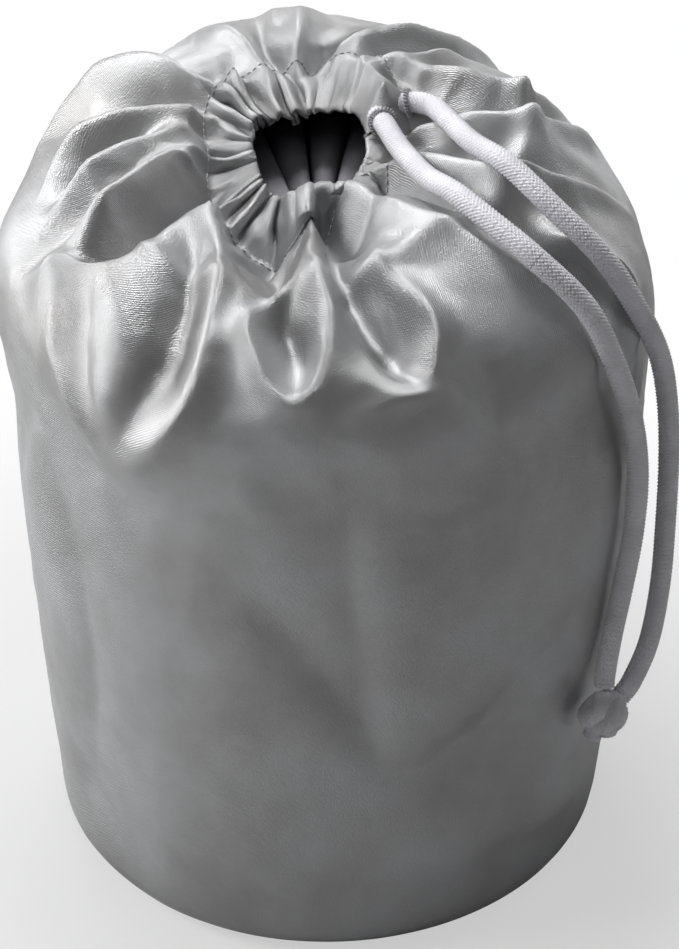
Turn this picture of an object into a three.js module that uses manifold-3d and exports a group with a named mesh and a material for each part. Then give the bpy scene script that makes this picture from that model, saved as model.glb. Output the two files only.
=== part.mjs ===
// A motorcycle cover packed in its drawstring bag: a silver-coated cloth bag with a round base stands
// upright, filled by the folded cover, and a braided cord gathers its mouth and hangs down its right side.
//
// Millimetres, +Z up. The origin is the middle of the bag's base, on the surface that the bag stands on.
// +X is the side where the cord hangs and -Y is the front. Angles turn about Z from +X towards +Y.
// "Run" is the distance along the bag's cloth from the hem's stitch line: outwards and down the bag it
// grows, and in the hem it is negative.

import * as THREE from "three";
import { mergeVertices } from "three/addons/utils/BufferGeometryUtils.js";
import Module from "manifold-3d";

const wasm = await Module();
wasm.setup();

// Driving sizes
const BAG_RADIUS = 100;
const BASE_RADIUS = 96;
const BASE_FILLET = 12;
const WALL_TOP = 190;
const WALL_BULGE = 1.5;
const CLOTH_DEPTH = 2.2;
const CORD_RADIUS = 3;
const GAP = 0.4;

// The mouth lies a little off the axis and slopes down towards the front
const MOUTH = { x: -5, y: 2, z: 238.5, radius: 22.5, slope: 0.3 };
const HEM_WIDTH = 20;
const HEM_THICKNESS = 3;
const RIM_ROUNDING = 0.4 * HEM_THICKNESS;
const HEM_FALL = { side: 10, front: 27 };
const GATHERS = { count: 20, depth: 1.3, reach: 9 };

// The shoulder's curve: how far its ends point out and up, each with what the back has more and the front
// less
const SHOULDER = {
  wallUp: 42.5, wallUpBack: 12.5, stitchOut: 26, stitchOutBack: 2, stitchUp: 19, stitchUpBack: 1,
};

// Runs at which the shoulder ends and the base begins
const SHOULDER_RUN = 100;
const WALL_END_RUN = SHOULDER_RUN + WALL_TOP - BASE_FILLET;
const FILLET_END_RUN = WALL_END_RUN + (BASE_FILLET * Math.PI) / 2;

// The folds of the shoulder. Each has a half width on the side of smaller angles (before) and of larger
// ones (after), a sideways lean per millimetre of height, and its crest from the hem outwards as
// [angle in degrees, run, height]. A negative height is a hollow.
const FOLDS = [
  { name: "left_ridge", before: 13, after: 10, lean: 0.2,
    crest: [[162, -6, 2], [184, 10, 8], [199, 30, 12], [207, 48, 9], [212, 62, 6], [215, 86, 0]] },
  { name: "left_hollow", before: 7, after: 7, lean: 0,
    crest: [[222, -4, -3], [223, 8, -11], [221, 22, -15], [221, 38, -14], [219, 48, -10], [209, 64, 0]] },
  { name: "flap_edge", before: 6, after: 12, lean: -0.4,
    crest: [[236, 2, 3], [232, 12, 8], [227, 24, 9], [226, 38, 8], [223, 50, 6], [212, 62, 1]] },
  { name: "flap_body", before: 20, after: 16, lean: 0,
    crest: [[234, 24, 4], [232, 45, 6], [232, 70, 6], [234, 95, 4], [237, 114, 0]] },
  { name: "flap_left_line", before: 7, after: 7, lean: 0,
    crest: [[214, 62, -1], [220, 74, -3], [226, 90, -3], [231, 104, -2], [236, 114, 0]] },
  { name: "front_left_ridge", before: 7, after: 6, lean: 0,
    crest: [[233, -4, 3], [236, 8, 8], [242, 20, 9], [248, 34, 8], [252, 58, 6], [251, 82, 4],
      [236, 115, 0]] },
  { name: "hem_pocket", before: 10, after: 9, lean: 0,
    crest: [[250, -6, -2], [254, 6, -8], [257, 20, -12], [259, 32, -9], [260, 46, -2]] },
  { name: "middle_pleat", before: 5, after: 5, lean: 0,
    crest: [[266, -16, 1], [267, -6, 5], [268, 5, 9], [269, 16, 9], [268, 26, 6], [264, 40, 4],
      [257, 58, 0]] },
  { name: "left_crescent", before: 7, after: 6, lean: 0,
    crest: [[245, 18, 2], [250, 32, 5], [254, 42, 6], [258, 56, 6], [262, 70, 6], [266, 79, 5],
      [270, 66, 4], [272, 48, 5], [271, 32, 5]] },
  { name: "left_crescent_hollow", before: 6, after: 6, lean: 0,
    crest: [[258, 44, 0], [262, 52, -6], [265, 62, -8], [267, 72, -4]] },
  { name: "middle_pocket", before: 6, after: 6, lean: 0,
    crest: [[275, -6, -3], [276, 4, -10], [277, 16, -12], [280, 28, -9], [285, 38, -2]] },
  { name: "middle_crease", before: 6, after: 6, lean: 0,
    crest: [[277, 28, -4], [278, 44, -5], [279, 60, -5], [281, 72, -4], [284, 84, 0]] },
  { name: "right_crescent", before: 7, after: 7, lean: 0,
    crest: [[284, 6, 4], [286, 18, 6], [290, 30, 7], [294, 42, 7], [294, 54, 7], [291, 66, 6],
      [286, 75, 5], [280, 75, 2]] },
  { name: "right_crescent_hollow", before: 6, after: 6, lean: 0,
    crest: [[287, 44, -2], [286, 56, -6], [284, 66, -5], [282, 74, 0]] },
  { name: "front_right_ridge", before: 13, after: 9, lean: 0.2,
    crest: [[284, -4, 2], [298, 8, 9], [310, 22, 11], [317, 42, 10], [319, 64, 8], [322, 84, 5],
      [332, 112, 0]] },
  { name: "front_right_pocket", before: 6, after: 6, lean: 0,
    crest: [[296, -6, -2], [304, 2, -8], [312, 12, -8], [319, 24, -3]] },
  { name: "front_right_hollow", before: 6, after: 7, lean: 0,
    crest: [[317, 28, -2], [321, 44, -8], [324, 58, -10], [326, 70, -8], [323, 84, -1]] },
  { name: "right_ridge", before: 8, after: 8, lean: 0,
    crest: [[318, -6, 2], [330, 8, 6], [337, 26, 8], [342, 44, 7], [347, 58, 5], [349, 82, 0]] },
  { name: "right_hollow", before: 6, after: 6, lean: 0,
    crest: [[340, -6, -2], [346, 8, -6], [352, 26, -6], [357, 44, -4], [358, 64, 0]] },
  { name: "right_back_ridge", before: 8, after: 8, lean: 0,
    crest: [[352, -6, 2], [360, 8, 5], [366, 24, 6], [368, 44, 5], [369, 64, 0]] },
  { name: "back_right_low_ridge", before: 7, after: 6, lean: 0,
    crest: [[62, 0, 2], [46, 7, 6], [31, 12, 8], [20, 26, 8], [15, 40, 6], [12, 62, 0]] },
  { name: "back_right_hollow", before: 6, after: 6, lean: 0,
    crest: [[60, 2, -2], [50, 10, -5], [40, 18, -6], [32, 30, -5], [27, 46, 0]] },
  { name: "back_right_ridge", before: 9, after: 7, lean: 0,
    crest: [[79, 0, 2], [70, 7, 7], [58, 14, 8], [48, 28, 6], [42, 48, 3], [38, 70, 0]] },
  { name: "back_hollow", before: 6, after: 6, lean: 0,
    crest: [[92, -4, -3], [87, 3, -9], [78, 8, -10], [68, 12, -8], [58, 20, -4], [52, 32, 0]] },
  { name: "back_lobe", before: 24, after: 22, lean: 0,
    crest: [[98, 8, 2], [99, 30, 5], [99, 52, 5], [97, 78, 0]] },
  { name: "back_pleat", before: 6, after: 6, lean: 0,
    crest: [[100, -4, 2], [98, 2, 5], [95, 10, 6], [94, 22, 4], [94, 40, 1]] },
  { name: "back_left_hollow", before: 6, after: 6, lean: 0,
    crest: [[105, -4, -3], [105, 4, -8], [106, 14, -8], [106, 28, -5], [106, 44, 0]] },
  { name: "back_left_pleat", before: 6, after: 6, lean: 0,
    crest: [[110, -4, 2], [112, 3, 5], [116, 11, 5], [119, 22, 3], [122, 36, 0]] },
  { name: "left_back_crease", before: 6, after: 6, lean: 0,
    crest: [[128, -4, -3], [131, 3, -8], [136, 12, -10], [140, 22, -9], [144, 36, -4], [148, 50, 0]] },
  { name: "left_back_ridge", before: 9, after: 9, lean: 0,
    crest: [[134, -4, 3], [142, 8, 8], [148, 22, 10], [154, 38, 8], [158, 60, 2]] },
  { name: "left_back_hollow", before: 7, after: 7, lean: 0,
    crest: [[150, -2, -3], [157, 8, -8], [162, 18, -10], [164, 32, -9], [165, 46, -2]] },
  { name: "left_upper_ridge", before: 6, after: 7, lean: 0,
    crest: [[152, 0, 2], [168, 10, 6], [181, 26, 7], [187, 44, 6], [191, 58, 1]] },
  { name: "left_bulge", before: 45, after: 45, lean: 0,
    crest: [[183, 62, 0], [183, 80, 3], [183, 98, 2.2], [184, 130, 0]] },
  { name: "right_bulge", before: 50, after: 50, lean: 0,
    crest: [[357, 86, 0.5], [357, 104, 2.2], [357, 150, 2.2], [357, 220, 2], [357, 264, 0]] },
];

// The bag's grid: the runs of its rings from the rim to the base, close-set columns around the folded
// shoulder, and half as many around the plain wall and base
const COLUMNS = 108;
const SHOULDER_RINGS = [-20, -13, -6, 0, 6, 13, 20, 28, 36, 45, 54, 64, 75, 87, 102, 120];
const WALL_RINGS = [150, 210, WALL_END_RUN, WALL_END_RUN + 6.3, WALL_END_RUN + 12.6, FILLET_END_RUN];

// The packed cover: upright layers, each a stack of plies, in one back-and-forth section. Its sides
// spread above sidesEnd to meet the bag's bulge, and above domeStart its shoulders round in to the top.
const PACK = {
  layers: 13, pitch: 14, thickness: 12, clearance: 2, bottom: CLOTH_DEPTH + GAP,
  sidesEnd: 122, spread: 2, domeStart: 152, domeTop: 224, domePower: 3, tilt: 0.27,
};
const PACK_RISE = PACK.domeTop - PACK.domeStart;
// The turns, in degrees, at which the pack's lower corner and its round shoulders are cut, and its sides
const CORNER_TURNS = [0, 30, 60, 90];
const DOME_TURNS = [0, 18, 34, 50, 66, 80];
const PACK_SIDES = 28;

// The two strands of the cord, from the hem's exit to the knot, as points along their axes
const FRONT_STRAND = [
  [15.5, 13, 246], [18, 4.5, 246], [22, -8, 244], [29, -27, 243.2], [37, -41.5, 244], [46, -54, 241.2],
  [58, -65, 235], [72.5, -70, 222], [82, -67, 203], [89.5, -59, 181], [94, -52.5, 158], [94.5, -51, 136],
  [92.5, -52.5, 116], [90, -56, 101], [88.2, -60, 89], [87.8, -61.7, 84.2],
];
const BACK_STRAND = [
  [20.5, 18.5, 247.2], [26.1, 17.8, 248.5], [30.8, 14.7, 249], [33.7, 10.4, 249], [37.6, 0, 248.6],
  [43.5, -13, 247.6], [52.8, -28, 247], [65.5, -41.5, 239], [79.5, -47, 226.5], [91, -45.5, 209],
  [99.5, -39, 191], [104.5, -33, 171], [107, -31, 150], [108, -31, 126], [107.5, -35, 105], [104, -44, 89],
  [98, -53.5, 80.3], [93.8, -58.9, 78],
];
const KNOT = { x: 88, y: -64.5, z: 76, core: 6.5, wrapRadius: 5.4, tail: 15 };

const radians = THREE.MathUtils.degToRad;

function outward(angle) {
  return new THREE.Vector3(Math.cos(angle), Math.sin(angle), 0);
}

// ---------------------------------------------------------------- the bag's mean form

function rimPoint(angle) {
  const y = MOUTH.y + MOUTH.radius * Math.sin(angle);
  return new THREE.Vector3(
    MOUTH.x + MOUTH.radius * Math.cos(angle), y, MOUTH.z + MOUTH.slope * (y - MOUTH.y));
}

function hemPoint(angle, run) {
  const fall = radians(HEM_FALL.side - HEM_FALL.front * Math.sin(angle));
  const along = outward(angle).multiplyScalar(Math.cos(fall));
  along.z = -Math.sin(fall);
  return rimPoint(angle).addScaledVector(along, run + HEM_WIDTH);
}

// A cubic from the top of the wall, over the shoulder and down to the stitch line. The back stands higher.
function shoulderPoint(angle, run) {
  const back = Math.sin(angle);
  const direction = outward(angle);
  const wallEnd = direction.clone().multiplyScalar(BAG_RADIUS).setZ(WALL_TOP);
  const wallHandle = wallEnd.clone().setZ(WALL_TOP + SHOULDER.wallUp + SHOULDER.wallUpBack * back);
  const stitch = hemPoint(angle, 0);
  const stitchHandle = stitch.clone()
    .addScaledVector(direction, SHOULDER.stitchOut + SHOULDER.stitchOutBack * back);
  stitchHandle.z += SHOULDER.stitchUp + SHOULDER.stitchUpBack * back;
  const curve = new THREE.CubicBezierCurve3(stitch, stitchHandle, wallHandle, wallEnd);
  return curve.getPoint(run / SHOULDER_RUN);
}

function wallPoint(angle, run) {
  const height = WALL_TOP + SHOULDER_RUN - run;
  const k = (height - BASE_FILLET) / (WALL_TOP - BASE_FILLET);
  const radius = BASE_RADIUS + (BAG_RADIUS - BASE_RADIUS) * k + WALL_BULGE * 4 * k * (1 - k);
  return outward(angle).multiplyScalar(radius).setZ(height);
}

function filletPoint(angle, run) {
  const turn = Math.min((run - WALL_END_RUN) / BASE_FILLET, Math.PI / 2);
  const radius = BASE_RADIUS - BASE_FILLET * (1 - Math.cos(turn));
  return outward(angle).multiplyScalar(radius).setZ(BASE_FILLET * (1 - Math.sin(turn)));
}

function meanPoint(angle, run) {
  if (run <= 0) return hemPoint(angle, run);
  if (run <= SHOULDER_RUN) return shoulderPoint(angle, run);
  if (run <= WALL_END_RUN) return wallPoint(angle, run);
  return filletPoint(angle, run);
}

// The unit directions of growing angle and growing run, and the outward normal, of the mean form
function meanFrame(angle, run) {
  const step = 0.002;
  const reach = 0.4;
  const low = Math.max(run - reach, -HEM_WIDTH);
  const high = Math.min(run + reach, FILLET_END_RUN);
  const around = meanPoint(angle + step, run).sub(meanPoint(angle - step, run)).normalize();
  const down = meanPoint(angle, high).sub(meanPoint(angle, low)).normalize();
  return { around, down, normal: down.clone().cross(around).normalize() };
}

// ---------------------------------------------------------------- the bag's folds

// The bag's radius at a run, near enough to measure across a fold
function nominalRadius(run) {
  const stitch = MOUTH.radius + 0.88 * HEM_WIDTH;
  if (run < 0) return stitch + 0.88 * run;
  const left = 1 - Math.min(run / SHOULDER_RUN, 1);
  return BAG_RADIUS - (BAG_RADIUS - stitch) * Math.pow(left, 1.7);
}

const foldCrests = FOLDS.map(({ crest }) => {
  const points = crest.map(([angle, run, height]) => new THREE.Vector3(radians(angle), run, height));
  return new THREE.CatmullRomCurve3(points, false, "catmullrom", 0.5).getPoints(24);
});

// Height of one fold at a place on the cloth, and the way across its crest
function foldAt(fold, crest, angle, run) {
  const radius = nominalRadius(run);
  let nearest = { distance: Infinity, side: 0, height: 0, across: [0, 0] };
  for (let i = 0; i + 1 < crest.length; i += 1) {
    const turns = Math.round((angle - crest[i].x) / (2 * Math.PI)) * 2 * Math.PI;
    const dx = (angle - turns - crest[i].x) * radius;
    const dy = run - crest[i].y;
    const ex = (crest[i + 1].x - crest[i].x) * radius;
    const ey = crest[i + 1].y - crest[i].y;
    const k = THREE.MathUtils.clamp((dx * ex + dy * ey) / (ex * ex + ey * ey), 0, 1);
    const distance = Math.hypot(dx - k * ex, dy - k * ey);
    if (distance < nearest.distance) {
      const length = Math.hypot(ex, ey);
      const across = [ey / length, -ex / length];
      const side = (dx - k * ex) * across[0] + (dy - k * ey) * across[1];
      const height = THREE.MathUtils.lerp(crest[i].z, crest[i + 1].z, k);
      nearest = { distance, side, height, across };
    }
  }
  const width = nearest.side > 0 ? fold.after : fold.before;
  const height = nearest.height * Math.exp(-((nearest.distance / width) ** 2));
  return { height, shift: nearest.across.map((v) => v * height * fold.lean) };
}

// The gathers that the cord pulls up in the hem, dying out below its stitch line
function gatherHeight(angle, run) {
  const fade = run < 0 ? 1 : Math.exp(-run / GATHERS.reach);
  const wander = 0.5 * Math.sin(5 * angle + 0.7);
  return GATHERS.depth * fade * Math.sin(GATHERS.count * angle + wander);
}

function reliefAt(angle, run) {
  const total = { height: gatherHeight(angle, run), shift: [0, 0] };
  FOLDS.forEach((fold, i) => {
    const { height, shift } = foldAt(fold, foldCrests[i], angle, run);
    total.height += height;
    total.shift[0] += shift[0];
    total.shift[1] += shift[1];
  });
  return total;
}

// The cloth's depth along the mean normal: on a fold's steep side the sheet itself is about half of it
function clothDepth(run) {
  const k = THREE.MathUtils.smoothstep(run, -2, 6);
  return THREE.MathUtils.lerp(HEM_THICKNESS, CLOTH_DEPTH, k);
}

// The outer and the inner face of the cloth at one place
function clothFaces(angle, run) {
  const { around, down, normal } = meanFrame(angle, run);
  const relief = reliefAt(angle, run);
  const outer = meanPoint(angle, run)
    .addScaledVector(normal, relief.height)
    .addScaledVector(around, relief.shift[0])
    .addScaledVector(down, relief.shift[1]);
  const inner = outer.clone().addScaledVector(normal, -clothDepth(run));
  return { outer, inner, down };
}

// ---------------------------------------------------------------- solids

function closedGeometry(positions, indices) {
  const geometry = new THREE.BufferGeometry();
  geometry.setAttribute("position", new THREE.Float32BufferAttribute(positions, 3));
  geometry.setIndex(indices);
  return geometry;
}

// The strip of triangles between two rings of the skin, the first nearer the rim. The lower ring has as
// many columns or half as many. Seen from the skin's outer side, the strip's faces turn counterclockwise.
function stripBetween(upper, lower, points) {
  const triangles = [];
  const count = upper.length;
  const ratio = count / lower.length;
  for (let j = 0; j < count; j += ratio) {
    const a = upper[j];
    const b = upper[(j + ratio) % count];
    const c = lower[j / ratio];
    const d = lower[(j / ratio + 1) % lower.length];
    if (ratio === 2) {
      const middle = upper[j + 1];
      triangles.push([a, c, middle], [middle, c, d], [middle, d, b]);
    } else if (points[a].distanceTo(points[d]) < points[b].distanceTo(points[c])) {
      triangles.push([a, c, d], [a, d, b]);
    } else {
      triangles.push([a, c, b], [b, c, d]);
    }
  }
  return triangles;
}

function capAt(pole, ring) {
  return ring.map((corner, j) => [pole, ring[(j + 1) % ring.length], corner]);
}

// One closed skin: the outer face, the rounded rim, and an inner face with the same triangles turned
// inside out
function bagGeometry() {
  const outerPoints = [];
  const innerPoints = [];
  const rimPoints = [];
  const rings = [];
  for (const run of [...SHOULDER_RINGS, ...WALL_RINGS]) {
    const ring = [];
    const columns = SHOULDER_RINGS.includes(run) ? COLUMNS : COLUMNS / 2;
    for (let j = 0; j < columns; j += 1) {
      const { outer, inner, down } = clothFaces((2 * Math.PI * j) / columns, run);
      ring.push(outerPoints.length);
      outerPoints.push(outer);
      innerPoints.push(inner);
      if (run === -HEM_WIDTH) {
        rimPoints.push(outer.clone().lerp(inner, 0.5).addScaledVector(down, -RIM_ROUNDING));
      }
    }
    rings.push(ring);
  }
  const pole = outerPoints.length;
  outerPoints.push(new THREE.Vector3(0, 0, 0));
  innerPoints.push(new THREE.Vector3(0, 0, CLOTH_DEPTH));
  const face = capAt(pole, rings.at(-1));
  for (let i = 0; i + 1 < rings.length; i += 1) {
    face.push(...stripBetween(rings[i], rings[i + 1], outerPoints));
  }
  const innerStart = outerPoints.length;
  const rimStart = 2 * innerStart;
  const points = [...outerPoints, ...innerPoints, ...rimPoints];
  const rimRing = rimPoints.map((_, j) => rimStart + j);
  const innerRim = rings[0].map((j) => innerStart + j);
  const triangles = [
    ...face,
    ...face.map(([a, b, c]) => [innerStart + a, innerStart + c, innerStart + b]),
    ...stripBetween(rimRing, rings[0], points),
    ...stripBetween(innerRim, rimRing, points),
  ];
  return closedGeometry(points.flatMap((point) => point.toArray()), triangles.flat());
}

function toManifold(geometry) {
  const bare = geometry.clone();
  bare.deleteAttribute("normal");
  bare.deleteAttribute("uv");
  const merged = mergeVertices(bare, 1e-4);
  const triangles = [];
  for (let i = 0; i < merged.index.count; i += 3) {
    const [a, b, c] = [0, 1, 2].map((k) => merged.index.getX(i + k));
    if (a !== b && b !== c && c !== a) triangles.push(a, b, c);
  }
  return new wasm.Manifold(new wasm.Mesh({
    numProp: 3,
    vertProperties: new Float32Array(merged.attributes.position.array),
    triVerts: new Uint32Array(triangles),
  }));
}

function fromManifold(solid) {
  const mesh = solid.getMesh();
  return closedGeometry(Array.from(mesh.vertProperties), Array.from(mesh.triVerts));
}

// The pack's top slopes down towards the front, as the bag's does
function tiltTop(geometry) {
  const place = geometry.attributes.position;
  for (let i = 0; i < place.count; i += 1) {
    const k = THREE.MathUtils.clamp((place.getZ(i) - PACK.domeStart) / PACK_RISE, 0, 1);
    place.setZ(i, place.getZ(i) + k * PACK.tilt * place.getY(i));
  }
}

// The space in the bag that the cover fills, with round shoulders
function packFormGeometry() {
  const inner = BASE_RADIUS - CLOTH_DEPTH - PACK.clearance;
  const cornerX = BASE_RADIUS - BASE_FILLET;
  const profile = [new THREE.Vector2(0, PACK.bottom)];
  for (const turn of CORNER_TURNS) {
    const x = cornerX + (inner - cornerX) * Math.sin(radians(turn));
    const y = BASE_FILLET - (BASE_FILLET - PACK.bottom) * Math.cos(radians(turn));
    profile.push(new THREE.Vector2(x, y));
  }
  const shoulder = inner + PACK.spread;
  profile.push(new THREE.Vector2(shoulder, PACK.sidesEnd));
  for (const turn of DOME_TURNS) {
    const x = shoulder * Math.pow(Math.cos(radians(turn)), 2 / PACK.domePower);
    const y = PACK.domeStart + PACK_RISE * Math.pow(Math.sin(radians(turn)), 2 / PACK.domePower);
    profile.push(new THREE.Vector2(x, y));
  }
  profile.push(new THREE.Vector2(0, PACK.domeTop));
  const geometry = new THREE.LatheGeometry(profile, PACK_SIDES);
  geometry.rotateX(Math.PI / 2);
  tiltTop(geometry);
  return geometry;
}

// The back-and-forth section, seen from the front: layers joined by round folds at top and bottom in turn
function packSection() {
  const { layers, pitch, thickness } = PACK;
  const outerFold = (pitch + thickness) / 2;
  const innerFold = (pitch - thickness) / 2;
  const x = (k) => (k - (layers - 1) / 2) * pitch;
  const topOf = (middle) => {
    const reach = Math.min(Math.abs(middle) / BASE_RADIUS, 1) ** PACK.domePower;
    return PACK.domeStart + PACK_RISE * (1 - reach) ** (1 / PACK.domePower) - outerFold;
  };
  const bottom = PACK.bottom + outerFold;
  const shape = new THREE.Shape();
  shape.moveTo(x(0) - thickness / 2, bottom);
  for (let k = 0; k + 1 < layers; k += 1) {
    const middle = (x(k) + x(k + 1)) / 2;
    if (k % 2 === 0) shape.absarc(middle, topOf(middle), outerFold, Math.PI, 0, true);
    else shape.absarc(middle, bottom, innerFold, Math.PI, 2 * Math.PI, false);
  }
  const last = x(layers - 1);
  shape.lineTo(last - thickness / 2, topOf(last));
  shape.lineTo(last + thickness / 2, topOf(last));
  for (let k = layers - 2; k >= 0; k -= 1) {
    const middle = (x(k) + x(k + 1)) / 2;
    if (k % 2 === 0) shape.absarc(middle, topOf(middle), innerFold, 0, Math.PI, false);
    else shape.absarc(middle, bottom, outerFold, 0, -Math.PI, true);
  }
  return shape;
}

function packedCoverGeometry() {
  const length = 2 * BAG_RADIUS;
  const layers = new THREE.ExtrudeGeometry(
    packSection(), { depth: length, bevelEnabled: false, curveSegments: 2 });
  layers.rotateX(Math.PI / 2);
  layers.translate(0, length / 2, 0);
  tiltTop(layers);
  return fromManifold(toManifold(layers).intersect(toManifold(packFormGeometry())));
}

function circleShape(radius, sides) {
  const points = [];
  for (let i = 0; i < sides; i += 1) {
    const angle = (2 * Math.PI * (i + 0.5)) / sides;
    points.push(new THREE.Vector2(radius * Math.cos(angle), radius * Math.sin(angle)));
  }
  return new THREE.Shape(points);
}

function strandGeometry(route) {
  const path = new THREE.CatmullRomCurve3(route.map((point) => new THREE.Vector3(...point)));
  const steps = Math.round(path.getLength() / (4 * CORD_RADIUS));
  return new THREE.ExtrudeGeometry(
    circleShape(CORD_RADIUS, 8), { steps, bevelEnabled: false, extrudePath: path });
}

// An overhand knot in the doubled cord: a core with three crossing wraps, and two cut tails below
function knotGeometry() {
  let solid = toManifold(new THREE.IcosahedronGeometry(KNOT.core, 2));
  for (const [turnX, turnY] of [[15, 20], [75, 10], [100, 75]]) {
    const wrap = new THREE.TorusGeometry(KNOT.wrapRadius, CORD_RADIUS, 8, 18);
    wrap.rotateX(radians(turnX));
    wrap.rotateY(radians(turnY));
    solid = solid.add(toManifold(wrap));
  }
  for (const lean of [-14, 10]) {
    const tail = new THREE.CylinderGeometry(CORD_RADIUS, CORD_RADIUS, KNOT.tail, 10);
    tail.translate(0, -KNOT.tail / 2, 0);
    tail.rotateX(Math.PI / 2);
    tail.rotateY(radians(lean));
    solid = solid.add(toManifold(tail));
  }
  return fromManifold(solid);
}

// ---------------------------------------------------------------- the object

function addPart(group, name, geometry, material) {
  const mesh = new THREE.Mesh(geometry, material);
  mesh.name = name;
  group.add(mesh);
  return mesh;
}

const silverCloth = new THREE.MeshStandardMaterial({ color: 0xb4b4b6, metalness: 0.7, roughness: 0.42 });
const coverCloth = new THREE.MeshStandardMaterial({ color: 0x45454c, metalness: 0, roughness: 0.8 });
const cordBraid = new THREE.MeshStandardMaterial({ color: 0xd8d6de, metalness: 0, roughness: 0.7 });

const bag = new THREE.Group();
addPart(bag, "bag_shell", bagGeometry(), silverCloth);
addPart(bag, "packed_cover", packedCoverGeometry(), coverCloth);
addPart(bag, "cord_front", strandGeometry(FRONT_STRAND), cordBraid);
addPart(bag, "cord_back", strandGeometry(BACK_STRAND), cordBraid.clone());
const knot = addPart(bag, "cord_knot", knotGeometry(), cordBraid.clone());
knot.position.set(KNOT.x, KNOT.y, KNOT.z);

export default bag;
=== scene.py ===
"""A motorcycle cover packed in its silver drawstring bag, laid out as a Blender add-on.

The bag stands on its base with +Z up. +X is the side where the cord hangs, and -Y is the front. The
shape functions work in millimetres, and each mesh is placed in metres. Angles turn about Z from +X
towards +Y. "Run" is the distance along the bag's cloth from the hem's stitch line: it grows down the
bag, and in the hem it is negative.
"""

import math

import bpy
import numpy as np
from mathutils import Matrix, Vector, noise


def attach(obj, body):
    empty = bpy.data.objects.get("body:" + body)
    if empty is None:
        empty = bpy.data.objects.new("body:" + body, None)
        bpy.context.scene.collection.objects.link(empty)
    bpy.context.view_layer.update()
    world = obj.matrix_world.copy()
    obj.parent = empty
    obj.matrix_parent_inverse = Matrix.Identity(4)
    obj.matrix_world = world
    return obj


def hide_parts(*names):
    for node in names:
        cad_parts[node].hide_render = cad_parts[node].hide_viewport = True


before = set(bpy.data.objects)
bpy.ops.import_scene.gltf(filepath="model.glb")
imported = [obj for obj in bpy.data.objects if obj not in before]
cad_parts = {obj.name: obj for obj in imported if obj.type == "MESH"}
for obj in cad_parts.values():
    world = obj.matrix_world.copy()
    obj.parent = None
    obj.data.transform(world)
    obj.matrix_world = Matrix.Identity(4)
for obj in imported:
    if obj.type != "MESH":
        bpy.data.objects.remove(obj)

bl_info = {
    "name": "Packed motorcycle cover",
    "version": (1, 0, 0),
    "blender": (4, 5, 0),
    "location": "View3D > Sidebar > Cover bag",
    "description": "Builds a motorcycle cover packed in its silver drawstring bag",
    "category": "Add Mesh",
}

MM = 0.001

# ---------------------------------------------------------------- the cord

# The routes of the cord's two strands along their axes, from the hem to the knot, in metres
FRONT_STRAND = [
    (0.0155, 0.013, 0.246), (0.018, 0.0045, 0.246), (0.022, -0.008, 0.244), (0.029, -0.027, 0.2432),
    (0.037, -0.0415, 0.244), (0.046, -0.054, 0.2412), (0.058, -0.065, 0.235), (0.0725, -0.07, 0.222),
    (0.082, -0.067, 0.203), (0.0895, -0.059, 0.181), (0.094, -0.0525, 0.158), (0.0945, -0.051, 0.136),
    (0.0925, -0.0525, 0.116), (0.09, -0.056, 0.101), (0.0882, -0.06, 0.089), (0.0878, -0.0617, 0.0842),
]
BACK_STRAND = [
    (0.0205, 0.0185, 0.2472), (0.0261, 0.0178, 0.2485), (0.0308, 0.0147, 0.249),
    (0.0337, 0.0104, 0.249), (0.0376, 0.0, 0.2486), (0.0435, -0.013, 0.2476), (0.0528, -0.028, 0.247),
    (0.0655, -0.0415, 0.239), (0.0795, -0.047, 0.2265), (0.091, -0.0455, 0.209),
    (0.0995, -0.039, 0.191), (0.1045, -0.033, 0.171), (0.107, -0.031, 0.15), (0.108, -0.031, 0.126),
    (0.1075, -0.035, 0.105), (0.104, -0.044, 0.089), (0.098, -0.0535, 0.0803),
    (0.0938, -0.0589, 0.078),
]
KNOT_CENTRE = (0.088, -0.0645, 0.076)

# ---------------------------------------------------------------- the bag's sizes, in millimetres

BAG_RADIUS = 100
BASE_RADIUS = 96
BASE_FILLET = 12
WALL_TOP = 190
WALL_BULGE = 1.5
# The mouth lies a little off the axis and slopes down towards the front
MOUTH = {"x": -5, "y": 2, "z": 238.5, "radius": 22.5, "slope": 0.3}
HEM_WIDTH = 20
HEM_THICKNESS = 1.6
# How steeply the hem falls outwards, in degrees, at the sides and how much more at the front
HEM_FALL = {"side": 10, "front": 27}
# The drawn-in hem is uneven: (angle in degrees, radius at the rim, radius at the stitch line, how far the
# rim has dropped into the mouth, how far the stitch line has dropped)
HEM_SHAPE = [
    (0, 17.5, 29, 1, 1), (35, 19.5, 36, 0, 0), (60, 21.5, 41, 0, 0), (90, 20.5, 40, 1, 0),
    (112, 19, 40, 1, 0), (137, 21.5, 40, 0, 0), (160, 19.5, 36, 0, 0), (182, 17.5, 32, 0, 0),
    (204, 17.5, 33, 1, 0), (226, 20, 36, 1, 2), (244, 22.5, 36, 0, 6), (262, 20, 35, 1, 6),
    (284, 16.5, 29, 4, 4), (306, 16, 24, 6, 3), (332, 16.5, 25, 4, 2),
]
# How far the ends of the shoulder's curve point up and out, and what the back has more and the front less
SHOULDER = {
    "wall_up": 42.5, "wall_up_back": 12.5, "stitch_out": 26, "stitch_out_back": 2,
    "stitch_up": 19, "stitch_up_back": 1,
}
# Runs at which the shoulder, the wall and the base's rounded edge end
SHOULDER_RUN = 100
WALL_END_RUN = SHOULDER_RUN + WALL_TOP - BASE_FILLET
FILLET_END_RUN = WALL_END_RUN + BASE_FILLET * math.pi / 2

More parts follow.
